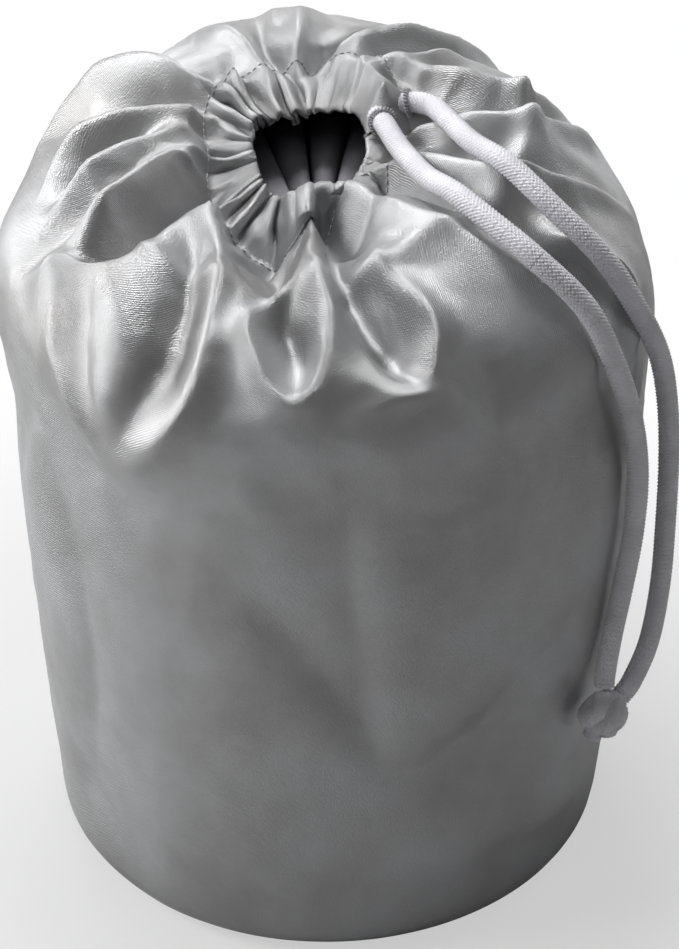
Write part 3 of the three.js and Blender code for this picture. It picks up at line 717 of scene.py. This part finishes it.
def cord_line(route, step):
    """A strand's middle line in millimetres, at even steps."""
    return resample(spline(np.array(route) / MM, 8 * len(route)), step)


def build_strand(settings, name, route, node, material):
    """One strand of the drawcord on its route."""
    line = cord_line(route, STRAND_STEP)
    points, faces = braided_tube(line, settings.diameter / MM / 2)
    piece = mesh_piece(name, points * MM, faces, material)
    tie_to_part(piece, node)
    return piece


# An overhand knot in the doubled cord, as one turn of a trefoil opened at the top. Each row is a point
# of the doubled cord's middle from the knot's centre, in millimetres, before the knot is drawn tight.
KNOT_LINE = [
    (1.5, 2.5, 8.5), (1.0, -1.5, 5.0), (-1.5, -5.0, 1.5), (-5.5, -3.5, -2.5), (-5.5, 2.0, -4.0),
    (-1.5, 5.5, -1.5), (3.5, 4.5, 2.0), (6.0, -0.5, 3.0), (4.5, -5.0, 0.5), (0.0, -5.5, -3.5),
    (-1.5, -1.0, -6.5), (-0.5, 0.5, -11.0), (-1.0, -0.5, -15.0),
]
KNOT_TIGHTNESS = 0.7
# The tails: over how many points they spread apart, by how much, and by how many points one is shorter
TAIL_POINTS = 12
TAIL_SPREAD = 1.2
TAIL_SHORTER = 5


def build_knot(settings, material):
    """The knot that joins the two strands, with its two cut tails."""
    radius = settings.diameter / MM / 2
    middle = resample(spline(np.array(KNOT_LINE) * KNOT_TIGHTNESS, 160), 0.4)
    _tangents, sides, _ups = tube_frames(middle)
    apart = np.full(len(middle), 0.5 * radius)
    apart[-TAIL_POINTS:] += np.linspace(0, TAIL_SPREAD, TAIL_POINTS)
    tubes = []
    for way, end in ((-1, len(middle) - TAIL_SHORTER), (1, len(middle))):
        centres = (middle + way * sides * apart[:, None])[:end]
        tubes.append(braided_tube(centres, 0.93 * radius))
    points, faces = joined(tubes)
    piece = mesh_piece("drawcord_knot", (points + np.array(KNOT_CENTRE) / MM) * MM, faces, material)
    tie_to_part(piece, "cord_knot")
    return piece


# ---------------------------------------------------------------- the bag's pieces

# The rows and the ring of the finished mesh
RING_SIZE = 324
WALL_ROWS_START = 126
BAG_ROWS = np.concatenate([
    np.linspace(-HEM_WIDTH, 0, 15),
    np.linspace(0, WALL_ROWS_START, 100)[1:],
    np.linspace(WALL_ROWS_START, WALL_END_RUN, 26)[1:],
    np.linspace(WALL_END_RUN, FILLET_END_RUN, 6)[1:],
])
# The rows and the ring of the coarser cloth that settles, its scale in metres per millimetre, which is
# ten times the bag's because the solver is steadier at that size, and the steps that it takes
SETTLE_COLUMNS = 320
SETTLE_ROWS = np.concatenate([
    np.arange(-HEM_WIDTH, 0, 2.0), np.arange(0, 130, 1.9), np.arange(130, 168, 4.0)])
SETTLE_SCALE = 0.01
SETTLE_STEPS = 16
SETTLE_CLOTH = {
    "quality": 6, "mass": 0.15, "air_damping": 2, "tension_stiffness": 40, "compression_stiffness": 40,
    "shear_stiffness": 20, "bending_stiffness": 0.5, "pin_stiffness": 5,
    "vertex_group_mass": "held", "vertex_group_shrink": "keeps its size", "shrink_max": 0,
}
# The weave is laid out evenly round the bag as on a tube of this radius
WEAVE_RADIUS = 82


def weigh(piece, name, weights):
    group = piece.vertex_groups.new(name=name)
    for i, weight in enumerate(weights):
        if weight > 0:
            group.add([i], float(weight), "REPLACE")


def settle_cloth(settings):
    """The bag's upper cloth on a coarse grid, after it has grown a little and settled.

    The cloth is held at its hem and on its wall, and doesn't grow there.
    """
    angles = np.linspace(0, 2 * np.pi, SETTLE_COLUMNS, endpoint=False)
    angle, run = np.meshgrid(angles, SETTLE_ROWS)
    start = bag_surface(angle, run, settings.gather_depth / MM)
    mesh = bpy.data.meshes.new("settling cloth")
    faces = ring_faces(len(SETTLE_ROWS), SETTLE_COLUMNS)
    mesh.from_pydata((start.reshape(-1, 3) * SETTLE_SCALE).tolist(), [], faces)
    piece = place_in_scene("settling cloth", mesh)
    run = run.ravel()
    held_in_hem = (2 - run) / 4
    held_on_wall = (run - 140) / 20
    weigh(piece, "held", np.clip(np.maximum(held_in_hem, held_on_wall), 0, 1))
    below_hem = run / 15
    above_wall = (118 - run) / 60
    weigh(piece, "keeps its size", 1 - np.clip(np.minimum(below_hem, above_wall), 0, 1))
    modifier = piece.modifiers.new("settle", "CLOTH")
    modifier.point_cache.frame_start = 1
    modifier.point_cache.frame_end = SETTLE_STEPS
    modifier.collision_settings.use_collision = False
    modifier.collision_settings.use_self_collision = False
    for key, value in SETTLE_CLOTH.items():
        setattr(modifier.settings, key, value)
    modifier.settings.shrink_min = -settings.growth
    modifier.settings.effector_weights.gravity = 0
    scene = bpy.context.scene
    for step in range(1, SETTLE_STEPS + 1):
        scene.frame_set(step)
    settled = piece.evaluated_get(bpy.context.evaluated_depsgraph_get()).to_mesh()
    places = np.zeros(3 * len(settled.vertices))
    settled.vertices.foreach_get("co", places)
    move = places.reshape(start.shape) / SETTLE_SCALE - start
    scene.frame_set(1)
    bpy.data.objects.remove(piece)
    bpy.data.meshes.remove(mesh)
    normals = grid_normals(start)
    outwards = (move * normals).sum(-1).mean(1)
    return start + move - normals * 0.5 * outwards[:, None, None]


def softly_sampled(values, places):
    """Values at fractional places along the first axis, evened out a little by a cubic B-spline."""
    i = np.clip(places.astype(int), 0, len(values) - 2)
    t = (places - i).reshape((-1,) + (1,) * (values.ndim - 1))
    a = values[np.maximum(i - 1, 0)]
    d = values[np.minimum(i + 2, len(values) - 1)]
    near = values[i] * (3 * t ** 3 - 6 * t * t + 4) + values[i + 1] * (1 + 3 * t + 3 * t * t - 3 * t ** 3)
    return (a * (1 - t) ** 3 + near + d * t ** 3) / 6


def refined(settled, runs):
    """The settled cloth at other rows, on the finer ring of the finished mesh."""
    rows = softly_sampled(settled, np.interp(runs, SETTLE_ROWS, np.arange(len(SETTLE_ROWS))))
    turned = rows.transpose(1, 0, 2)
    wrapped = np.concatenate([turned[-2:], turned, turned[:3]])
    places = 2 + np.arange(RING_SIZE) * SETTLE_COLUMNS / RING_SIZE
    return softly_sampled(wrapped, places).transpose(1, 0, 2)


def bag_face(runs, settings, settled):
    """The bag's outer face on rings at some rows. Where the cloth has settled, that shape holds."""
    angles = np.linspace(0, 2 * np.pi, RING_SIZE, endpoint=False)
    angle, run = np.meshgrid(angles, runs)
    face = bag_surface(angle, run, settings.gather_depth / MM)
    if settled is not None:
        upper = runs < SETTLE_ROWS[-1]
        face[upper] = refined(settled, runs[upper])
    _around, _down, normal = mean_frame(angle, run)
    return face + normal * crumple_height(angle, run)[..., None]


def build_bag(settings, settled, material):
    """The bag's cloth: one closed skin with a doubled hem at the mouth."""
    outer = bag_face(BAG_ROWS, settings, settled)
    normals = grid_normals(outer)
    thin = settings.cloth_thickness / MM
    ease = np.clip((BAG_ROWS + 1) / 5, 0, 1)[:, None, None]
    depth = HEM_THICKNESS + (thin - HEM_THICKNESS) * ease ** 2
    inner = outer - normals * depth
    rolled = [outer[0] - normals[0] * share * HEM_THICKNESS - unit(outer[1] - outer[0]) * rise
              for share, rise in ((0.8, 0.7), (0.5, 1.0), (0.2, 0.7))]
    rings = [*inner[::-1], *rolled, *outer]
    ring_runs = [*BAG_ROWS[::-1], *[-HEM_WIDTH - 1] * len(rolled), *BAG_ROWS]
    faces = ring_faces(len(rings), RING_SIZE)
    across = [j * 2 * math.pi * WEAVE_RADIUS / RING_SIZE for j in range(RING_SIZE + 1)]
    uvs = [corner for low, high in zip(ring_runs, ring_runs[1:]) for left, right in zip(across, across[1:])
           for corner in ((left, low), (left, high), (right, high), (right, low))]
    points = np.vstack([*rings, [[0, 0, thin]], [[0, 0, 0]]])
    bottom = len(points) - 2
    last = bottom - RING_SIZE
    for j in range(RING_SIZE):
        k = (j + 1) % RING_SIZE
        for face in ((bottom, j, k), (bottom + 1, last + k, last + j)):
            faces.append(face)
            uvs += [tuple(points[i][:2]) for i in face]
    piece = mesh_piece("bag_cloth", points * MM, faces, material, uvs)
    tie_to_part(piece, "bag_shell")
    return piece


# The hem's stitches and the thread round the buttonholes, in millimetres
STITCH_PITCH = 2.3
STITCH_LENGTH = 1.7
STITCH_LIFT = 0.15
STITCH_RISE = (-0.2, 0.2, 0.27, 0.2, -0.2)
STITCH_THREAD = 0.22
# A buttonhole lies this many steps of this length along its strand
BUTTONHOLE_STEP = 0.5
BUTTONHOLE_PLACE = 10
BUTTONHOLE_RADIUS = 3.9
BUTTONHOLE_TURNS = 26
BUTTONHOLE_DEPTH = 0.55
BUTTONHOLE_THREAD = 0.3


def build_stitches(settings, settled, material):
    """The hem's stitch line: small thread stitches laid on the cloth all round."""
    face = bag_face(np.linspace(-1.2, 1.2, 5), settings, settled)
    normals = grid_normals(face)
    line = np.vstack([face[2], face[2][:1]])
    out = np.vstack([normals[2], normals[2][:1]])
    along = running_length(line + STITCH_LIFT * out)
    count = int(along[-1] / STITCH_PITCH)
    stitches = []
    for n in range(count):
        span = along[-1] * n / count + np.linspace(0, STITCH_LENGTH, len(STITCH_RISE))
        centre, up = (np.stack([np.interp(span, along, rows[:, k]) for k in range(3)], -1)
                      for rows in (line, out))
        stitches.append(plain_tube(centre + up * np.array(STITCH_RISE)[:, None], STITCH_THREAD))
    points, faces = joined(stitches)
    piece = mesh_piece("hem_stitches", points * MM, faces, material)
    tie_to_part(piece)
    return piece


def build_buttonhole(name, route, material):
    """The ring of thread sewn round the hole where a strand leaves the hem."""
    line = cord_line(route, BUTTONHOLE_STEP)
    at = BUTTONHOLE_PLACE
    tangent, side, up = (rows[at] for rows in tube_frames(line))
    along = np.linspace(0, 2 * np.pi, BUTTONHOLE_TURNS * 12)[:, None]
    reach = BUTTONHOLE_RADIUS + BUTTONHOLE_DEPTH * np.cos(BUTTONHOLE_TURNS * along)
    centres = line[at] + reach * (side * np.cos(along) + up * np.sin(along))
    centres = centres + tangent * BUTTONHOLE_DEPTH * np.sin(BUTTONHOLE_TURNS * along)
    points, faces = plain_tube(centres, BUTTONHOLE_THREAD)
    piece = mesh_piece(name, points * MM, faces, material)
    tie_to_part(piece)
    return piece


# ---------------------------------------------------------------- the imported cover

# The folded cover, in millimetres: how many folds, how far apart and how wide, the stack's radius and
# lowest level, where its round shoulder starts and its highest level, the shoulder's reach and power, and
# its slope towards the front
PACK = {
    "folds": 13, "pitch": 13.6, "width": 11, "radius": 90, "bottom": 8, "start": 152, "top": 223,
    "reach": 94, "power": 3.0, "tilt": 0.27,
}
# How the folds that show in the mouth draw together: their band's half width, how much of their distance
# closes, round which x past the mouth's middle, and the y at which this starts, is full, fades and ends
GATHERED = {"band": 34, "closes": 0.76, "past": 3, "start": 50, "full": 4, "fade": -20, "end": -60}
COVER_COLUMNS = 41
COVER_STEPS = 46
COVER_HALF_THICKNESS = 0.5
# The narrowest half length of a fold, and how far the outermost cloth stays below the pack's round top
NARROWEST = 22.0
TOP_MARGIN = 5
# The size of a face on the weave's layout
WEAVE_STEP = 4.5


def pack_top(x, y):
    """The height of the pack's round-shouldered top, before it slopes to the front."""
    reach = np.clip(np.hypot(x, y) / PACK["reach"], 0, 1)
    dome = (PACK["top"] - PACK["start"]) * (1 - reach ** PACK["power"]) ** (1 / PACK["power"])
    return PACK["start"] + dome


def pack_line():
    """Sideways place, height share and rise of the cloth's middle line through all of the folds."""
    rows = []
    half = PACK["width"] / 2
    gap = PACK["pitch"] / 2 - half
    for k in range(PACK["folds"]):
        x = (k - (PACK["folds"] - 1) / 2) * PACK["pitch"]
        rows += [(x - half, t, 0) for t in np.linspace(0, 1, COVER_STEPS)]
        rows += [(x - half * math.cos(a), 1, 3 * math.sin(a)) for a in np.linspace(0, math.pi, 9)[1:-1]]
        rows += [(x + half, t, 0) for t in np.linspace(1, 0, COVER_STEPS)]
        if k + 1 < PACK["folds"]:
            rows += [(x + half + gap * (1 - math.cos(a)), 0, -gap * math.sin(a))
                     for a in np.linspace(0, math.pi, 6)[1:-1]]
    return rows


def warp_to_mouth(points):
    """Slopes the pack's top to the front, and draws its folds together at the front of the mouth."""
    warped = points.copy()
    x, y, z = points.T
    rise = np.clip((z - PACK["start"]) / (PACK["top"] - PACK["start"]), 0, 1)
    near = np.exp(-(((x - MOUTH["x"]) / GATHERED["band"]) ** 4)) * rise ** 3
    grows = (GATHERED["start"] - y) / (GATHERED["start"] - GATHERED["full"])
    fades = (y - GATHERED["end"]) / (GATHERED["fade"] - GATHERED["end"])
    front = np.clip(grows, 0, 1) * np.clip(fades, 0, 1)
    warped[:, 0] = x - (x - MOUTH["x"] - GATHERED["past"]) * GATHERED["closes"] * near * front
    warped[:, 2] = z + rise * PACK["tilt"] * y
    return warped


def build_cover(material):
    """The folded cover: one closed sheet laid back and forth in upright folds."""
    columns = np.linspace(-1, 1, COVER_COLUMNS)
    rows = []
    for x, share, rise in pack_line():
        radius = PACK["radius"] - 5 * (1 - min(share / 0.08, 1)) ** 2
        y = columns * math.sqrt(max(radius ** 2 - x * x, NARROWEST ** 2))
        top = pack_top(x, y) - TOP_MARGIN
        z = PACK["bottom"] + (top - PACK["bottom"]) * share + rise
        rows.append(np.stack([x + 0 * y, y, z], -1))
    middle = np.array(rows)
    normals = unit(np.cross(np.gradient(middle, axis=0), np.gradient(middle, axis=1)))
    shift = normals * COVER_HALF_THICKNESS
    points = np.concatenate([(middle + shift).reshape(-1, 3), (middle - shift).reshape(-1, 3)])
    n, m = middle.shape[:2]
    faces = []
    uvs = []
    for i in range(n - 1):
        for j in range(m - 1):
            a = i * m + j
            quad = (a, a + m, a + m + 1, a + 1)
            faces += [quad, tuple(n * m + q for q in (quad[0], *quad[:0:-1]))]
            u = [(WEAVE_STEP * (q % m), WEAVE_STEP * (q // m)) for q in quad]
            uvs += u + [u[0], *u[:0:-1]]
    edge = [*range(0, n * m, m), *range((n - 1) * m + 1, n * m), *range(n * m - 1 - m, 0, -m),
            *range(m - 2, 0, -1)]
    for a, b in zip(edge, edge[1:] + edge[:1]):
        faces.append((b, a, n * m + a, n * m + b))
        uvs += [(0, 0), (1, 0), (1, 1), (0, 1)]
    piece = mesh_piece("packed_cover_cloth", warp_to_mouth(points) * MM, faces, material, uvs)
    tie_to_part(piece, "packed_cover")
    return piece


# ---------------------------------------------------------------- the stage


# The camera's place in metres, how far it looks down in degrees, and its lens on a sensor of this height,
# both in millimetres
CAMERA = {"place": (0.004, -0.567, 0.4725), "down": 31.5, "lens": 75.87, "sensor": 36}

# The soft lights: name, place and size in metres, share of the key light's power, and what each points at
MIDDLE = (0, 0, 0.14)
LIGHTS = [
    ("key", (-0.1, 0.3, 1.2), 0.45, 1, MIDDLE),
    ("left high", (-1.2, -0.1, 0.9), 0.6, 0.75, MIDDLE),
    ("left", (-1.2, 0.35, 0.35), 0.4, 0.7, MIDDLE),
    ("left floor", (-0.55, -0.15, 0.6), 0.3, 0.16, (-0.42, -0.1, 0)),
    ("front top", (-0.3, -0.75, 1.25), 1.1, 0.2, MIDDLE),
    ("right back", (1.0, 0.8, 0.8), 0.6, 0.15, MIDDLE),
    ("right fill", (1.1, -0.5, 0.6), 0.5, 0.12, MIDDLE),
]

# The floor's rings in metres, their corners, its level just below the bag, and where it fades to white
FLOOR_RADII = [0.15, 0.3, 0.6, 1.2, 2.4]
FLOOR_CORNERS = 96
FLOOR_LEVEL = -0.0002
FLOOR_FADE = {"From Min": 0.11, "From Max": 0.34, "To Min": 0.55, "To Max": 1.0}


def build_lights(power):
    for name, place, size, share, target in LIGHTS:
        light = bpy.data.lights.new(name, "AREA")
        light.size = size
        light.energy = share * power
        lamp = place_in_scene(name, light)
        lamp.location = place
        lamp.rotation_euler = (Vector(target) - Vector(place)).to_track_quat("-Z", "Y").to_euler()


def build_camera():
    camera = bpy.data.cameras.new("camera")
    camera.sensor_fit = "VERTICAL"
    camera.sensor_height = CAMERA["sensor"]
    camera.lens = CAMERA["lens"]
    holder = place_in_scene("camera", camera)
    holder.location = CAMERA["place"]
    holder.rotation_euler = (math.radians(90 - CAMERA["down"]), 0, 0)
    bpy.context.scene.camera = holder


def smooth_range(tree, value, limits):
    node = add_node(tree, "ShaderNodeMapRange", interpolation_type="SMOOTHSTEP", inputs=limits)
    tree.links.new(value, node.inputs[0])
    return node.outputs[0]


def whiten(tree, kind, share, shader, surface):
    """Mixes a white light of strength 1 into a surface or a background, by a share."""
    white = add_node(tree, kind, inputs={"Color": (1, 1, 1, 1), "Strength": 1.0})
    mix = add_node(tree, "ShaderNodeMixShader")
    for slot, value in enumerate((share, shader.outputs[0], white.outputs[0])):
        tree.links.new(value, mix.inputs[slot])
    tree.links.new(mix.outputs[0], surface)


def build_world(settings):
    """White behind the object for camera rays and in its reflections from behind, plain grey light else."""
    world = bpy.data.worlds.new("studio")
    bpy.context.scene.world = world
    world.use_nodes = True
    tree = world.node_tree
    light = tree.nodes["Background"]
    grey = settings.ambient
    light.inputs["Color"].default_value = (grey, grey, 1.04 * grey, 1)
    parts = add_node(tree, "ShaderNodeSeparateXYZ")
    tree.links.new(add_node(tree, "ShaderNodeTexCoord").outputs["Generated"], parts.inputs[0])
    behind = smooth_range(tree, parts.outputs[1], {"From Min": 0.2, "From Max": 0.8})
    rays = add_node(tree, "ShaderNodeLightPath").outputs
    mirror = math_node(tree, "MAXIMUM", rays["Is Glossy Ray"], rays["Is Transmission Ray"])
    share = math_node(tree, "MULTIPLY", mirror, behind)
    share = math_node(tree, "MAXIMUM", rays["Is Camera Ray"], share)
    whiten(tree, "ShaderNodeBackground", share, light, tree.nodes["World Output"].inputs["Surface"])


def floor_paper(settings):
    """Pale matt paper that fades to white away from the object."""
    material, tree, shader = new_material("Pale floor")
    shader.inputs["Roughness"].default_value = 0.9
    shader.inputs["Base Color"].default_value = (*settings.floor_colour, 1)
    grain = add_node(tree, "ShaderNodeTexNoise", inputs={"Scale": 40.0})
    link_bumps(tree, shader, [(grain.outputs["Fac"], 0.0003)])
    length = add_node(tree, "ShaderNodeVectorMath", operation="LENGTH")
    tree.links.new(add_node(tree, "ShaderNodeTexCoord").outputs["Object"], length.inputs[0])
    fade = smooth_range(tree, length.outputs["Value"], FLOOR_FADE)
    rays = add_node(tree, "ShaderNodeLightPath").outputs
    seen = math_node(tree, "MAXIMUM", rays["Is Camera Ray"], rays["Is Transmission Ray"])
    share = math_node(tree, "MULTIPLY", seen, fade)
    whiten(tree, "ShaderNodeEmission", share, shader, tree.nodes["Material Output"].inputs["Surface"])
    return material


def build_floor(settings):
    """A round floor that keeps the object's shadow."""
    angles = np.linspace(0, 2 * np.pi, FLOOR_CORNERS, endpoint=False)
    rings = [(r * math.cos(a), r * math.sin(a), FLOOR_LEVEL) for r in FLOOR_RADII for a in angles]
    middle = [(0, 1 + j, 1 + (j + 1) % FLOOR_CORNERS) for j in range(FLOOR_CORNERS)]
    faces = middle + ring_faces(len(FLOOR_RADII), FLOOR_CORNERS, first=1)
    floor = mesh_piece("floor", [(0, 0, FLOOR_LEVEL)] + rings, faces, floor_paper(settings))
    return floor


# ---------------------------------------------------------------- settings, operators and panel


class DrawcordSettings(bpy.types.PropertyGroup):
    diameter: bpy.props.FloatProperty(
        name="Diameter", description="Diameter of the braided cord", default=0.006, min=0.003,
        max=0.01, subtype="DISTANCE", unit="LENGTH")
    colour: bpy.props.FloatVectorProperty(
        name="Colour", description="Colour of the cord's yarn", default=(0.84, 0.83, 0.88),
        subtype="COLOR", min=0, max=1)


class BagClothSettings(bpy.types.PropertyGroup):
    cloth_colour: bpy.props.FloatVectorProperty(
        name="Coating", description="Colour of the cloth's silver coating", default=(0.493, 0.5, 0.512),
        subtype="COLOR", min=0, max=1)
    thread_colour: bpy.props.FloatVectorProperty(
        name="Thread", description="Colour of the hem's sewing thread", default=(0.47, 0.47, 0.49),
        subtype="COLOR", min=0, max=1)
    sheen: bpy.props.FloatProperty(
        name="Metal", description="How metallic the coating is", default=0.88, min=0, max=1,
        subtype="FACTOR")
    weave_pitch: bpy.props.FloatProperty(
        name="Weave pitch", description="Distance between the weave's ribs, in millimetres",
        default=0.65, min=0.2, max=3)
    gather_depth: bpy.props.FloatProperty(
        name="Gather depth", description="Depth of the fine gathers in the hem", default=0.0022,
        min=0, max=0.006, subtype="DISTANCE", unit="LENGTH")
    growth: bpy.props.FloatProperty(
        name="Fullness", description="How much the cloth grows before it settles into its folds",
        default=0.05, min=0, max=0.15, subtype="FACTOR")
    cloth_thickness: bpy.props.FloatProperty(
        name="Cloth thickness", description="Thickness of the single cloth", default=0.0006,
        min=0.0002, max=0.003, subtype="DISTANCE", unit="LENGTH")


class PackedCoverSettings(bpy.types.PropertyGroup):
    cover_colour: bpy.props.FloatVectorProperty(
        name="Cover cloth", description="Colour of the cover's own cloth", default=(0.36, 0.35, 0.39),
        subtype="COLOR", min=0, max=1)


class StageSettings(bpy.types.PropertyGroup):
    floor_colour: bpy.props.FloatVectorProperty(
        name="Floor", description="Colour of the floor", default=(0.54, 0.54, 0.54), subtype="COLOR",
        min=0, max=1)
    key_power: bpy.props.FloatProperty(
        name="Key light", description="Power of the main light", default=8.5, min=0, max=200,
        unit="POWER")
    ambient: bpy.props.FloatProperty(
        name="Ambient light", description="Brightness of the light from all round", default=0.04,
        min=0, max=1, subtype="FACTOR")


class COVERBAG_OT_stage(bpy.types.Operator):
    """Set up the camera, the lights, the background and the floor"""
    bl_idname = "coverbag.stage"
    bl_label = "Set the stage"

    def execute(self, context):
        settings = context.scene.stage_settings
        build_camera()
        build_world(settings)
        build_floor(settings)
        build_lights(settings.key_power)
        return {"FINISHED"}


class COVERBAG_OT_drawcord(bpy.types.Operator):
    """Lay the drawcord's two braided strands and tie them in their knot"""
    bl_idname = "coverbag.drawcord"
    bl_label = "Lay the drawcord"

    def execute(self, context):
        settings = context.scene.drawcord
        material = cord_yarn("Braided cord", settings.colour)
        knot = build_knot(settings, material)
        build_strand(settings, "drawcord_front_strand", FRONT_STRAND, "cord_front", material)
        build_strand(settings, "drawcord_back_strand", BACK_STRAND, "cord_back", material)
        return {"FINISHED"}


class COVERBAG_OT_bag(bpy.types.Operator):
    """Make the bag's silver cloth with its folds, and the stitches of its hem"""
    bl_idname = "coverbag.bag"
    bl_label = "Make the bag"

    def execute(self, context):
        settings = context.scene.bag_cloth
        settled = settle_cloth(settings)
        bag = build_bag(settings, settled, silver_cloth(settings))
        thread = cord_yarn("Hem thread", settings.thread_colour)
        sewing = [
            build_stitches(settings, settled, thread),
            build_buttonhole("buttonhole_front", FRONT_STRAND, thread),
            build_buttonhole("buttonhole_back", BACK_STRAND, thread),
        ]
        return {"FINISHED"}


class COVERBAG_OT_cover(bpy.types.Operator):
    """Fold the motorcycle cover that fills the bag"""
    bl_idname = "coverbag.cover"
    bl_label = "Fold the cover"

    def execute(self, context):
        cover = build_cover(dark_cloth(context.scene.packed_cover))
        return {"FINISHED"}


class COVERBAG_PT_panel(bpy.types.Panel):
    """The cover bag's settings and operators"""
    bl_idname = "COVERBAG_PT_panel"
    bl_label = "Cover bag"
    bl_space_type = "VIEW_3D"
    bl_region_type = "UI"
    bl_category = "Cover bag"

    def draw(self, context):
        for title, name, _group, operator in STEPS:
            settings = getattr(context.scene, name)
            box = self.layout.box()
            box.label(text=title)
            for setting in settings.__annotations__:
                box.prop(settings, setting)
            box.operator(operator.bl_idname)


# The steps of the making: title, name of the settings in the scene, their group, and the operator
STEPS = (
    ("Stage", "stage_settings", StageSettings, COVERBAG_OT_stage),
    ("Drawcord", "drawcord", DrawcordSettings, COVERBAG_OT_drawcord),
    ("Bag", "bag_cloth", BagClothSettings, COVERBAG_OT_bag),
    ("Packed cover", "packed_cover", PackedCoverSettings, COVERBAG_OT_cover),
)


def register():
    for _title, name, group, operator in STEPS:
        bpy.utils.register_class(group)
        bpy.utils.register_class(operator)
        setattr(bpy.types.Scene, name, bpy.props.PointerProperty(type=group))
    bpy.utils.register_class(COVERBAG_PT_panel)


def unregister():
    bpy.utils.unregister_class(COVERBAG_PT_panel)
    for _title, name, group, operator in reversed(STEPS):
        delattr(bpy.types.Scene, name)
        bpy.utils.unregister_class(operator)
        bpy.utils.unregister_class(group)


def main():
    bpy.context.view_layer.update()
    register()
    bpy.context.scene.view_settings.view_transform = "Standard"
    bpy.ops.coverbag.stage()
    bpy.ops.coverbag.drawcord()
    bpy.ops.coverbag.bag()
    bpy.ops.coverbag.cover()


if __name__ == "__main__":
    main()
